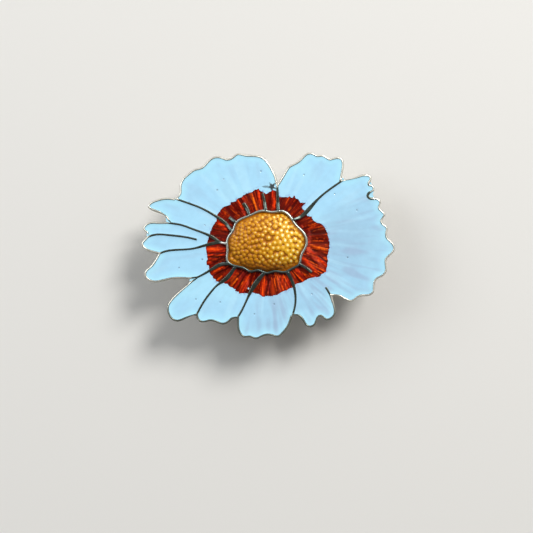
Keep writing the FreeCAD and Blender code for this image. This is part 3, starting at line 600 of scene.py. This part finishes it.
def back_height(points):
    """The plate's back: a softened edge, and fine pebbling that fades by the edge and by the posts."""
    from_outline = distance(points, outline)
    edge = BACK_ROUND * (1 - rounded(from_outline, BACK_ROUND))
    pebbles = 0.5 + 0.5 * noise_at(points, (1.9, 1.9), 21)
    fade = smoothstep(from_outline, 0.7, 1.3)
    for post in posts:
        fade *= smoothstep(from_spot(points, post.x, post.y), 2.9, 3.6)
    return edge + 0.07 * pebbles * fade


def point_tree(points):
    """A search tree for the nearest of some flat points."""
    tree = kdtree.KDTree(len(points))
    for i, (x, y) in enumerate(points):
        tree.insert((x, y, 0), i)
    tree.balance()
    return tree


def on_cell_floor(points):
    """Which points lie over a cell's floor rather than on metal."""
    found = inside(points, notches) | inside(points, folds) | inside(points, ring_inner)
    for petal in PETALS:
        found |= in_cell(points, petal)
    return found


def build_base():
    """The struck plate: its metal tops, the cells' floors, their walls and the back, as one closed mesh."""
    samples = cut_up(np.vstack([all_cells, outline]), CONTOUR_STEP)
    tree = point_tree(samples[:, :2])
    grid = grid_over(outline, METAL_STEP)
    gap = np.array([tree.find((x, y, 0))[2] for x, y in grid])
    grid = grid[(gap > METAL_GAP) & (gap < METAL_REACH)]
    grid = grid[inside(grid, outline)]
    grid = grid[~on_cell_floor(grid)]
    flat, triangles = triangulate(samples, grid)
    centres = flat[triangles].mean(axis=1)
    is_floor = on_cell_floor(centres)
    is_top = inside(centres, outline) & ~is_floor
    tops = metal_height(flat)

    vertices, faces, index = [], [], {}

    def vertex(i, height):
        if (i, height) not in index:
            index[i, height] = len(vertices)
            vertices.append((*flat[i], height))
        return index[i, height]

    faces += [[vertex(i, tops[i]) for i in corners] for corners in triangles[is_top]]
    faces += [[vertex(i, cell_floor) for i in corners] for corners in triangles[is_floor]]
    top_rim, floor_rim = set(rim_of(triangles[is_top])), set(rim_of(triangles[is_floor]))
    for a, b in top_rim:
        if (b, a) in floor_rim:
            upper = [vertex(b, tops[b]), vertex(a, tops[a])]
            faces.append([*upper, vertex(a, cell_floor), vertex(b, cell_floor)])
    outer = [(a, b, tops) for a, b in top_rim if (b, a) not in floor_rim]
    floors = np.full(len(flat), cell_floor)
    outer += [(a, b, floors) for a, b in floor_rim if (b, a) not in top_rim]

    # the back is its own triangulation on the same outline points
    around = np.array([[*flat[a], *flat[b]] for a, b, _ in outer])
    middle = grid_over(around, BACK_STEP)
    middle = middle[inside(middle, around)]
    middle = middle[distance(middle, around) > FINE_BAND]
    band = grid_over(around, BACK_EDGE_STEP)
    band = band[inside(band, around)]
    depth = distance(band, around)
    band = band[(depth > BACK_GAP) & (depth < FINE_BAND)]
    back_flat, back_triangles = triangulate(around, np.vstack([middle, band]))
    back_triangles = back_triangles[inside(back_flat[back_triangles].mean(axis=1), around)]
    first = len(vertices)
    vertices += [(*point, height) for point, height in zip(back_flat, back_height(back_flat))]
    faces += (back_triangles[:, ::-1] + first).tolist()
    below = point_tree(back_flat)
    for a, b, heights in outer:
        lower_a, lower_b = (first + below.find((*flat[i], 0))[1] for i in (a, b))
        if lower_a != lower_b:
            faces.append([vertex(b, heights[b]), vertex(a, heights[a]), lower_a, lower_b])
    made = new_mesh("struck_plate", vertices, faces)
    shade(made)
    places = np.array(vertices)
    back_tone = np.tile(BACK_TONE, (len(places), 1))
    on_face = places[:, 2] > FACE_FROM
    # the nickel's tones, with painted highlights, reflections and shade on the face
    paint(made, "plating_and_sheen", blend_to(back_tone, plating_and_sheen(places[:, :2]), on_face))
    return made


base = build_base()
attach(base, "pin")
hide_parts("struck_base")


# ---------------------------------------------------------------- enamel
def enamel_height(points, walls):
    """Enamel sinks a little away from the walls and climbs them in a thin meniscus."""
    from_wall = distance(points, walls)
    meniscus = 0.05 * np.exp(-from_wall / 0.14)
    sunk = 0.02 * smoothstep(from_wall, 0.2, 1.6)
    fibres = 0.014 * radial_fibres(points, 9, 16, 5) * smoothstep(from_wall, 0.2, 0.9)
    return enamel_top - ENAMEL_DROP + meniscus - sunk + fibres


def pitted(points):
    """How much of a pit each point is in, from 0 to 1."""
    weight = np.zeros(len(points))
    for x, y, width in PITS:
        away = from_spot(points, x, y, width, width)
        weight = np.maximum(weight, 1 - smoothstep(away, 0.4, 1.0))
    return weight


def burred(points):
    """How much of the burr each point is in, from 0 to 1: a ragged star, and its smear."""
    x, y = points[:, 0] - BURR[0], points[:, 1] - BURR[1]
    reach = 0.62 + 0.5 * np.cos(2.5 * np.arctan2(y, x) + 1.1) ** 2 + 0.35 * noise_at(points, (2.6, 2.6), 51)
    star = 1 - smoothstep(np.hypot(x, y) / reach, 0.45, 1.0)
    away = from_spot(points, *SMEAR) + 0.35 * noise_at(points, (3.1, 3.1), 53)
    return np.maximum(star, 0.5 * (1 - smoothstep(away, 0.35, 1.0)))


def mark_points():
    """Close points for the small marks in the white."""
    places = []
    for x, y, width in PITS:
        for step in range(4):
            reach = 0.35 * step * width
            for turn in np.linspace(0, math.tau, 7)[:-1] + step:
                places.append((x + reach * math.cos(turn), y + reach * math.sin(turn)))
    return np.vstack([np.unique(places, axis=0), grid_over(np.array([BURR_BOX]), MARK_STEP)])


def white_colours(points):
    """Pale blue-white with faint lavender-grey streaks and cloudy patches along the petals."""
    colours = np.tile(WHITE, (len(points), 1))
    clouds = noise_at(points, (0.16, 0.16), 2)
    colours = blend_to(colours, CLOUD, 0.6 * smoothstep(clouds, -0.1, 0.45))
    # the white greys, and its streaks strengthen, towards the lower right
    toward_lower_right = 0.2 + 0.8 * smoothstep(points[:, 0] - 0.9 * points[:, 1], 6, 15)
    colours = blend_to(colours, LOWER_RIGHT_GREY, 0.5 * toward_lower_right)
    from_patch = from_spot(points, *LAVENDER_PATCH)
    colours = blend_to(colours, LAVENDER, 0.55 * (1 - smoothstep(from_patch, 2.5, 8.5)))
    streaks = radial_fibres(points, 13, 5, 40)
    colours = blend_to(colours, STREAK, 0.7 * toward_lower_right * smoothstep(streaks, 0.0, 0.5))
    bright = radial_fibres(points, 12, 8, 140)
    colours = blend_to(colours, BRIGHT_STREAK, 0.5 * smoothstep(bright, 0.1, 0.5))
    fine = radial_fibres(points, 30, 7, 60)
    colours = blend_to(colours, FINE_STREAK, 0.35 * toward_lower_right * smoothstep(fine, 0.1, 0.5))
    by_rim = 1 - smoothstep(distance(points, outline), 0.4, 2.0)
    colours = blend_to(colours, RIM_GLOW, 0.6 * by_rim)
    by_red = 1 - smoothstep(distance(points, brushed_edges), 0.05, 0.55)
    smudges = smoothstep(noise_at(points, (2.4, 2.4), 77), 0.0, 0.45)
    colours = blend_to(colours, SMUDGE, 0.6 * by_red * smudges)
    colours = blend_to(colours, PIT_GREY, 0.65 * pitted(points))
    return blend_to(colours, BURR_GREY, burred(points))


def rib_weight(points, rib):
    """How much of a rib each point is in, up to the rib's strength."""
    x1, y1, x2, y2, width, strength, _ = rib
    start, along = np.array((x1, y1)), np.array((x2 - x1, y2 - y1))
    length = max(np.hypot(*along), 1e-6)
    offset = points - start
    run = (offset @ along) / length
    beyond = np.maximum(np.maximum(-run, run - length), 0)
    across = np.abs(offset[:, 0] * along[1] - offset[:, 1] * along[0]) / length
    wobble = 1.1 + 0.5 * noise_at(points, (1.9, 1.9), 11)
    away = np.hypot(across, beyond * 0.6) / (width * wobble)
    return strength * (1 - smoothstep(away, 0.2, 1.05))


def red_colours(points):
    """Maroon over dark ground; the struck ribs show through it with painted highlights on them and painted
    shade in their grooves, and painted glints lie over it.
    """
    fibres = radial_fibres(points, 22, 5, 80)
    broad = radial_fibres(points, 8, 4, 90)
    strands = radial_fibres(points, 42, 2.2, 120)
    flecks = noise_at(points, (2.6, 2.6), 63)
    colours = np.tile(MAROON, (len(points), 1))
    warm = smoothstep(points[:, 0] * 0.4 - points[:, 1], 0, 9)
    colours = blend_to(colours, WARM_RED, (0.2 + 0.65 * warm) * smoothstep(broad, -0.2, 0.45))
    colours = blend_to(colours, DEEP_RED, 0.6 * smoothstep(-fibres, 0.05, 0.45))
    carried = 0.7 + 0.9 * strands + 0.4 * flecks
    # the ribs: the metal showing through, with painted highlights, and painted shade in the grooves
    for rib in RIBS:
        colours = blend_to(colours, rib[-1], rib_weight(points, rib) * np.clip(carried, 0.4, 1.2))
    # painted glints
    glints = (0.4 + 0.35 * warm) * smoothstep(strands + 0.4 * flecks, 0.1, 0.5)
    colours = blend_to(colours, GLINT, glints)
    colours *= (1 + 0.45 * radial_fibres(points, 60, 3, 160))[:, None]
    by_white = 1 - smoothstep(distance(points, brushed_edges), 0.05, 0.3)
    colours = blend_to(colours, RED_FRINGE, 0.5 * by_white)
    return blend_to(colours, SPECK, 1 - smoothstep(from_spot(points, *WHITE_SPECK), 0.12, 0.26))


def red_relief(points):
    """How high the ribs stand, from -1 to 1."""
    relief = 0.35 * radial_fibres(points, 22, 5, 80)
    for rib in RIBS:
        lift = -0.8 if rib[-1] in (SHADE, SMOKE) else 0.8
        relief += lift * rib_weight(points, rib)
    return np.clip(relief, -1, 1)


def build_petal(petal):
    """A petal's white and red fills, which meet at the brushed edge."""
    _, red = cells[petal]
    marks = mark_points()
    walls = cell_edges[petal]
    fine_walls = cut_up(walls, WALL_STEP)
    grid = grid_over(walls, WHITE_STEP)
    in_red = inside(grid, brushed_edges)
    close = grid_over(red, RED_STEP)
    close = close[inside(close, brushed_edges)]
    grid = np.vstack([grid[~in_red], close, marks[~inside(marks, brushed_edges)]])
    grid = grid[in_cell(grid, petal)]
    grid = grid[(distance(grid, walls) > WALL_GAP) & (distance(grid, brushed_edges) > BRUSH_GAP)]
    flat, triangles = triangulate(np.vstack([fine_walls, brushed_edges]), grid)
    centres = flat[triangles].mean(axis=1)
    within = in_cell(centres, petal)
    is_red = inside(centres, brushed_edges)
    from_brush = distance(flat, brushed_edges)
    heights = enamel_height(flat, walls)
    relief = red_relief(flat)
    red_heights = heights - RED_DROP + RIB_HEIGHT * relief * smoothstep(from_brush, 0.02, 0.25)
    white_heights = heights + WHITE_RISE - PIT_DEPTH * pitted(flat) + BURR_HEIGHT * burred(flat)
    made = {}
    for colour, chosen, tops, colours in (
        ("white", within & ~is_red, white_heights, white_colours),
        ("red", within & is_red, red_heights, red_colours),
    ):
        piece, used = closed_relief(f"{petal}_{colour}", flat, triangles[chosen], tops, cell_floor)
        paint_relief(piece, colours(flat[used]))
        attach(piece, "pin")
        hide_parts(f"{petal}_{colour}_enamel")
        made[colour] = piece
    return made


petals = {petal: build_petal(petal) for petal in PETALS}


def build_scraps(name, edges):
    """The scraps of white enamel outside the walls."""
    grid = grid_over(edges, SCRAP_STEP)
    grid = grid[inside(grid, edges)]
    grid = grid[distance(grid, edges) > SCRAP_GAP]
    flat, triangles = triangulate(cut_up(edges, SCRAP_EDGE_STEP), grid)
    chosen = inside(flat[triangles].mean(axis=1), edges)
    piece, used = closed_relief(name, flat, triangles[chosen], enamel_height(flat, edges), cell_floor)
    paint_relief(piece, white_colours(flat[used]))
    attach(piece, "pin")
    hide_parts(f"{name}_enamel")
    return piece


scraps = [build_scraps("notch", notches), build_scraps("folded_edge", folds)]


# ---------------------------------------------------------------- the beaded dome
BEAD_MARGIN = 0.3  # the least distance from a bead's centre to the ring
BEAD_RELIEF = 0.24  # how high a bead stands
BEAD_SHARE = 0.66  # a bead's radius, as a share of the pitch
BEAD_SHADE_AT = (-0.24, -0.14)  # where a bead is darkest, from its centre
BEAD_GLOW_AT = (0.1, 0.1)  # and brightest
BEAD_TRIES = 9000
BEAD_APART = 0.86  # beads start at least this share of the pitch apart
BEAD_ROUNDS = 12  # how many times they are pushed
NOT_ITSELF = 99  # a distance that keeps a bead from pushing itself
DOME_FOOT = RING_TOP - 0.35  # the dome's height where no ray meets the CAD's
DOME_DROP = 0.25  # how far the CAD's surface is lowered under the beads
INWARDS = 0.995  # rays are cast this much nearer the middle, so that those at the edge hit too


def bead_pitch(point):
    """Beads are largest right of the middle and smallest at the edges and on the left."""
    x, y = point
    return 0.76 + 0.34 * math.exp(-((x - 3.4) / 3.4) ** 2 - (y / 4.2) ** 2)


def bead_centres():
    """Places for the beads: thrown at random, then pushed apart to an even spacing."""
    corners = ring_inner.reshape(-1, 2)
    (x1, y1), (x2, y2) = corners.min(axis=0), corners.max(axis=0)
    generator = random.Random(12)
    tries = np.array([(generator.uniform(x1, x2), generator.uniform(y1, y2)) for _ in range(BEAD_TRIES)])
    tries = tries[inside(tries, ring_inner)]
    tries = tries[distance(tries, ring_inner) > BEAD_MARGIN]
    centres = []
    for point in tries:
        pitch = bead_pitch(point)
        if all(math.dist(point, other) > BEAD_APART * pitch for other in centres):
            centres.append(point)
    centres = np.array(centres)
    for _ in range(BEAD_ROUNDS):
        gaps = centres[:, None] - centres[None]
        apart = np.hypot(*gaps.transpose(2, 0, 1)) + np.eye(len(centres)) * NOT_ITSELF
        wanted = np.array([bead_pitch(point) for point in centres])[:, None]
        push = np.clip(wanted * 1.02 - apart, 0, 0.3)[..., None] * gaps / apart[..., None]
        moved = centres + 0.28 * push.sum(axis=1)
        safe = inside(moved, ring_inner)
        safe[safe] = distance(moved[safe], ring_inner) > BEAD_MARGIN
        centres[safe] = moved[safe]
    return centres


def dome_colours(points, crest, from_ring, from_centre, radius, own):
    """Amber: brown between the beads, and on each bead a painted shaded side and a painted highlight; over it
    all painted light, strongest on the right, painted shade along the bottom, and more brown by the ring.
    """
    # painted light: strongest on the right and weaker towards the bottom
    light = smoothstep(points[:, 0], -5, 7) * (0.55 + 0.45 * smoothstep(points[:, 1], -6, -3))
    grain = noise_at(points, (2.6, 2.6), 31)
    bare = np.tile(HONEY, (len(points), 1))
    bare = blend_to(bare, LIT_GOLD, 0.9 * light)
    colours = np.tile(GAP_BROWN, (len(points), 1))
    colours = blend_to(colours, bare, smoothstep(crest + 0.2 * grain, 0.4, 0.75))
    to_shade = from_spot(from_centre, *BEAD_SHADE_AT) / radius
    colours = blend_to(colours, BEAD_SHADE, 0.5 * (1 - light) * (1 - smoothstep(to_shade, 0.1, 0.5)))
    to_glow = from_spot(from_centre, *BEAD_GLOW_AT) / radius
    glow = (0.3 + 0.7 * light + 0.35 * own) * (1 - smoothstep(to_glow, 0.15, 0.5))
    colours = blend_to(colours, BEAD_GLOW, glow)
    colours = blend_to(colours, BEAD_SPARK, light * (1 + own) * (1 - smoothstep(to_glow, 0.1, 0.4)))
    # painted shade along the dome's bottom
    colours = blend_to(colours, DOME_BOTTOM_SHADE, 0.75 * smoothstep(-points[:, 1], 3.4, 5.6))
    return blend_to(colours, RIM_BROWN, 0.7 * (1 - smoothstep(from_ring, 0.1, 0.8)))


def dome_surface(points):
    """The height of the CAD's own dome over each point."""
    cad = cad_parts["amber_dome_enamel"].data
    corners = [vertex.co / MM for vertex in cad.vertices]
    tree = BVHTree.FromPolygons(corners, [polygon.vertices for polygon in cad.polygons])
    heights = np.full(len(points), DOME_FOOT)
    for i, (x, y) in enumerate(points * INWARDS):
        hit = tree.ray_cast(Vector((x, y, 20)), Vector((0, 0, -1)))[0]
        if hit:
            heights[i] = hit.z
    return heights


def build_dome():
    """The amber dome, with beads over its whole surface."""
    centres = bead_centres()
    grid = grid_over(ring_inner, DOME_STEP)
    grid = grid[inside(grid, ring_inner)]
    grid = grid[distance(grid, ring_inner) > DOME_GAP]
    flat, triangles = triangulate(cut_up(ring_inner, CONTOUR_STEP), grid)
    chosen = inside(flat[triangles].mean(axis=1), ring_inner)
    from_ring = distance(flat, ring_inner)
    sizes = np.array([bead_pitch(point) * BEAD_SHARE for point in centres])
    gaps = np.hypot(flat[:, None, 0] - centres[None, :, 0], flat[:, None, 1] - centres[None, :, 1])
    scaled = gaps / sizes[None]
    nearest = scaled.argmin(axis=1)
    bead = np.sqrt(np.clip(1 - scaled.min(axis=1) ** 2, 0, 1)) * smoothstep(from_ring, 0.05, 0.5)
    tops = dome_surface(flat) - DOME_DROP + BEAD_RELIEF * bead
    piece, used = closed_relief("beaded_dome", flat, triangles[chosen], tops, cell_floor)

    generator = random.Random(5)
    chances = np.array([generator.uniform(-1, 1) for _ in centres])
    points, which = flat[used], nearest[used]
    paint_relief(piece, dome_colours(
        points, bead[used], from_ring[used], points - centres[which], sizes[which], chances[which]))
    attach(piece, "pin")
    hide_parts("amber_dome_enamel")
    return piece


dome = build_dome()


# ---------------------------------------------------------------- materials
def new_material(name, **values):
    """A material, its nodes and links, and its shader with some sockets set."""
    made = bpy.data.materials.new(name)
    made.use_nodes = True
    shader = made.node_tree.nodes["Principled BSDF"]
    for socket, value in values.items():
        shader.inputs[socket.replace("_", " ")].default_value = value
    return made, made.node_tree.nodes, made.node_tree.links, shader


def add_noise(nodes, links, scale, detail, low, high):
    """Noise over the object's own coordinates, spread between two values."""
    place = nodes.new("ShaderNodeTexCoord")
    texture = nodes.new("ShaderNodeTexNoise")
    texture.inputs["Scale"].default_value = scale
    texture.inputs["Detail"].default_value = detail
    spread = nodes.new("ShaderNodeMapRange")
    spread.inputs["From Min"].default_value = 0.3
    spread.inputs["From Max"].default_value = 0.7
    spread.inputs["To Min"].default_value = low
    spread.inputs["To Max"].default_value = high
    links.new(place.outputs["Object"], texture.inputs["Vector"])
    links.new(texture.outputs["Fac"], spread.inputs["Value"])
    return spread.outputs["Result"]


def add_bump(nodes, links, shader, height, depth):
    bump = nodes.new("ShaderNodeBump")
    bump.inputs["Distance"].default_value = depth
    bump.inputs["Strength"].default_value = 1
    links.new(height, bump.inputs["Height"])
    links.new(bump.outputs["Normal"], shader.inputs["Normal"])


def add_painted_colour(nodes, links, shader, layer, brightness):
    """The base colour that is painted on the mesh, with its brightness varied."""
    painted = nodes.new("ShaderNodeVertexColor")
    painted.layer_name = layer
    tone = nodes.new("ShaderNodeHueSaturation")
    links.new(painted.outputs["Color"], tone.inputs["Color"])
    links.new(brightness, tone.inputs["Value"])
    links.new(tone.outputs["Color"], shader.inputs["Base Color"])


def enamel_material(name, gloss, variation, grain, **values):
    """Glossy enamel whose colour is painted on the mesh."""
    made, nodes, links, shader = new_material(name, **values)
    mottle = add_noise(nodes, links, grain, 3, 1 - variation, 1 + variation)
    add_painted_colour(nodes, links, shader, "enamel", mottle)
    links.new(add_noise(nodes, links, 260, 2, gloss * 0.8, gloss * 1.3), shader.inputs["Roughness"])
    add_bump(nodes, links, shader, add_noise(nodes, links, 420, 2, 0, 1), 0.00002)
    return made


def plated_material(name, rough_low, rough_high, scratch):
    """Plated metal whose tone, with its painted highlights, reflections and shade, is painted on the mesh."""
    made, nodes, links, shader = new_material(name, Metallic=1.0)
    add_painted_colour(nodes, links, shader, "plating_and_sheen", add_noise(nodes, links, 700, 4, 0.9, 1.04))
    links.new(add_noise(nodes, links, 1500, 3, rough_low, rough_high), shader.inputs["Roughness"])
    add_bump(nodes, links, shader, add_noise(nodes, links, 2600, 3, 0, 1), scratch)
    return made


def metal_material(name, colour, dull, rough_low, rough_high, scratch):
    """Metal that is dull in places."""
    made, nodes, links, shader = new_material(name, Metallic=1.0)
    mix = nodes.new("ShaderNodeMix")
    mix.data_type = "RGBA"
    mix.inputs["A"].default_value = (*linear(colour), 1)
    mix.inputs["B"].default_value = (*linear(dull), 1)
    links.new(add_noise(nodes, links, 700, 4, 0, 1), mix.inputs["Factor"])
    links.new(mix.outputs["Result"], shader.inputs["Base Color"])
    links.new(add_noise(nodes, links, 1500, 5, rough_low, rough_high), shader.inputs["Roughness"])
    add_bump(nodes, links, shader, add_noise(nodes, links, 2600, 4, 0, 1), scratch)
    return made


white_enamel = enamel_material("white_enamel", 0.16, 0.025, 900, Coat_Weight=0.6, Coat_Roughness=0.04)
red_enamel = enamel_material(
    "red_enamel", 0.3, 0.1, 1600, Specular_IOR_Level=0.2, Coat_Weight=0.15, Coat_Roughness=0.04)
amber_enamel = enamel_material(
    "amber_enamel", 0.34, 0.08, 1400, Specular_IOR_Level=0.2, Coat_Weight=0.15, Coat_Roughness=0.12)
nickel = plated_material("nickel", 0.32, 0.42, 0.000003)
bright_nickel = metal_material("bright_nickel", (0.82, 0.81, 0.78), (0.74, 0.72, 0.68), 0.18, 0.32, 0.000004)
spring_steel = metal_material("spring_steel", (0.76, 0.76, 0.75), (0.66, 0.65, 0.62), 0.22, 0.36, 0.000004)
post_steel = metal_material("post_steel", (0.72, 0.70, 0.64), (0.60, 0.57, 0.50), 0.24, 0.4, 0.000006)
solder = metal_material("solder", (0.66, 0.66, 0.64), (0.50, 0.50, 0.48), 0.34, 0.55, 0.00002)

base.data.materials.append(nickel)
for pair in petals.values():
    pair["white"].data.materials.append(white_enamel)
    pair["red"].data.materials.append(red_enamel)
for piece in scraps:
    piece.data.materials.append(white_enamel)
dome.data.materials.append(amber_enamel)

FINISHES = {
    "post": post_steel,
    "post_solder": solder,
    "clutch_disc": bright_nickel,
    "clutch_cage": bright_nickel,
    "clutch_bridge": spring_steel,
    "clutch_upper_wing": spring_steel,
    "clutch_lower_wing": spring_steel,
}


def soften(node):
    """Break the sharp edges of a stamped part. The CAD's faces are separate, so they are joined first."""
    weld = node.modifiers.new("joined", "WELD")
    weld.merge_threshold = 0.001 * MM
    bevel = node.modifiers.new("soft_edges", "BEVEL")
    bevel.width = 0.08 * MM
    bevel.segments = 2
    bevel.limit_method = "ANGLE"
    bevel.angle_limit = math.radians(40)
    bevel.harden_normals = True


for side in ("left", "right"):
    for part, finish in FINISHES.items():
        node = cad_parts[f"{side}_{part}"]
        node.data.materials.clear()
        node.data.materials.append(finish)
        if part.startswith("clutch"):
            soften(node)


# ---------------------------------------------------------------- floor, light and camera
FLOOR_REACH = 1.2  # metres
CAMERA_HEIGHT = 180  # mm above the walls
VIEW_WIDTH = 107.45  # mm across the picture at the walls' height
SENSOR_WIDTH = 36


def build_stage():
    """A plain pale floor at the part's lowest point."""
    low = cad_box[0].z
    mesh = bpy.data.meshes.new("floor")
    sides = [(-1, -1), (1, -1), (1, 1), (-1, 1)]
    mesh.from_pydata([(x * FLOOR_REACH, y * FLOOR_REACH, low) for x, y in sides], [], [(0, 1, 2, 3)])
    floor = bpy.data.objects.new("floor", mesh)
    bpy.context.scene.collection.objects.link(floor)
    paper, _, _, shader = new_material("paper", Roughness=0.85)
    shader.inputs["Base Color"].default_value = (*linear((0.86, 0.855, 0.84)), 1)
    mesh.materials.append(paper)


def add_light(name, place, size, power, colour):
    """A round soft light that faces the part."""
    data = bpy.data.lights.new(name, "AREA")
    data.shape = "DISK"
    data.size = size
    data.energy = power
    data.color = colour
    lamp = bpy.data.objects.new(name, data)
    lamp.location = place
    lamp.rotation_euler = (-Vector(place)).to_track_quat("-Z", "Y").to_euler()
    bpy.context.scene.collection.objects.link(lamp)


def build_sky():
    """A soft studio: a bright band round the sides and a dim ceiling."""
    world = bpy.data.worlds.new("studio")
    world.use_nodes = True
    nodes, links = world.node_tree.nodes, world.node_tree.links
    background = nodes["Background"]
    place = nodes.new("ShaderNodeTexCoord")
    split = nodes.new("ShaderNodeSeparateXYZ")
    ramp = nodes.new("ShaderNodeValToRGB")
    side = nodes.new("ShaderNodeMapRange")
    side.inputs["From Min"].default_value = -0.8
    side.inputs["From Max"].default_value = 0.6
    side.inputs["To Min"].default_value = 0.25
    side.inputs["To Max"].default_value = 1.0
    elements = ramp.color_ramp.elements
    elements[0].position, elements[0].color = 0.0, (0.45, 0.45, 0.46, 1)
    elements[1].position, elements[1].color = 1.0, (0.05, 0.05, 0.055, 1)
    for position, value in ((0.35, 0.85), (0.75, 0.75), (0.93, 0.12)):
        element = elements.new(position)
        element.color = (value, value, value * 1.01, 1)
    scale = nodes.new("ShaderNodeMath")
    scale.operation = "MULTIPLY"
    scale.inputs[1].default_value = 0.9
    links.new(place.outputs["Generated"], split.inputs["Vector"])
    links.new(split.outputs["Z"], ramp.inputs["Fac"])
    links.new(split.outputs["Y"], side.inputs["Value"])
    links.new(ramp.outputs["Color"], background.inputs["Color"])
    links.new(side.outputs["Result"], scale.inputs[0])
    links.new(scale.outputs["Value"], background.inputs["Strength"])
    bpy.context.scene.world = world


build_stage()
build_sky()
add_light("key", (0.34, 0.42, 0.52), 0.3, 5.0, (1.0, 0.98, 0.95))
add_light("fill", (-0.5, 0.25, 0.4), 0.4, 1.6, (0.93, 0.97, 1.0))

# the camera looks straight down; the flower sits a little above the picture's middle
camera_data = bpy.data.cameras.new("camera")
camera_data.sensor_width = SENSOR_WIDTH
camera_data.lens = SENSOR_WIDTH * CAMERA_HEIGHT / VIEW_WIDTH
camera_data.clip_start, camera_data.clip_end = 0.01, 10
camera = bpy.data.objects.new("camera", camera_data)
camera.location = (0.00004, -0.00502, (WALL_TOP + CAMERA_HEIGHT) * MM)
bpy.context.scene.collection.objects.link(camera)
bpy.context.scene.camera = camera
bpy.context.scene.view_settings.view_transform = "Standard"
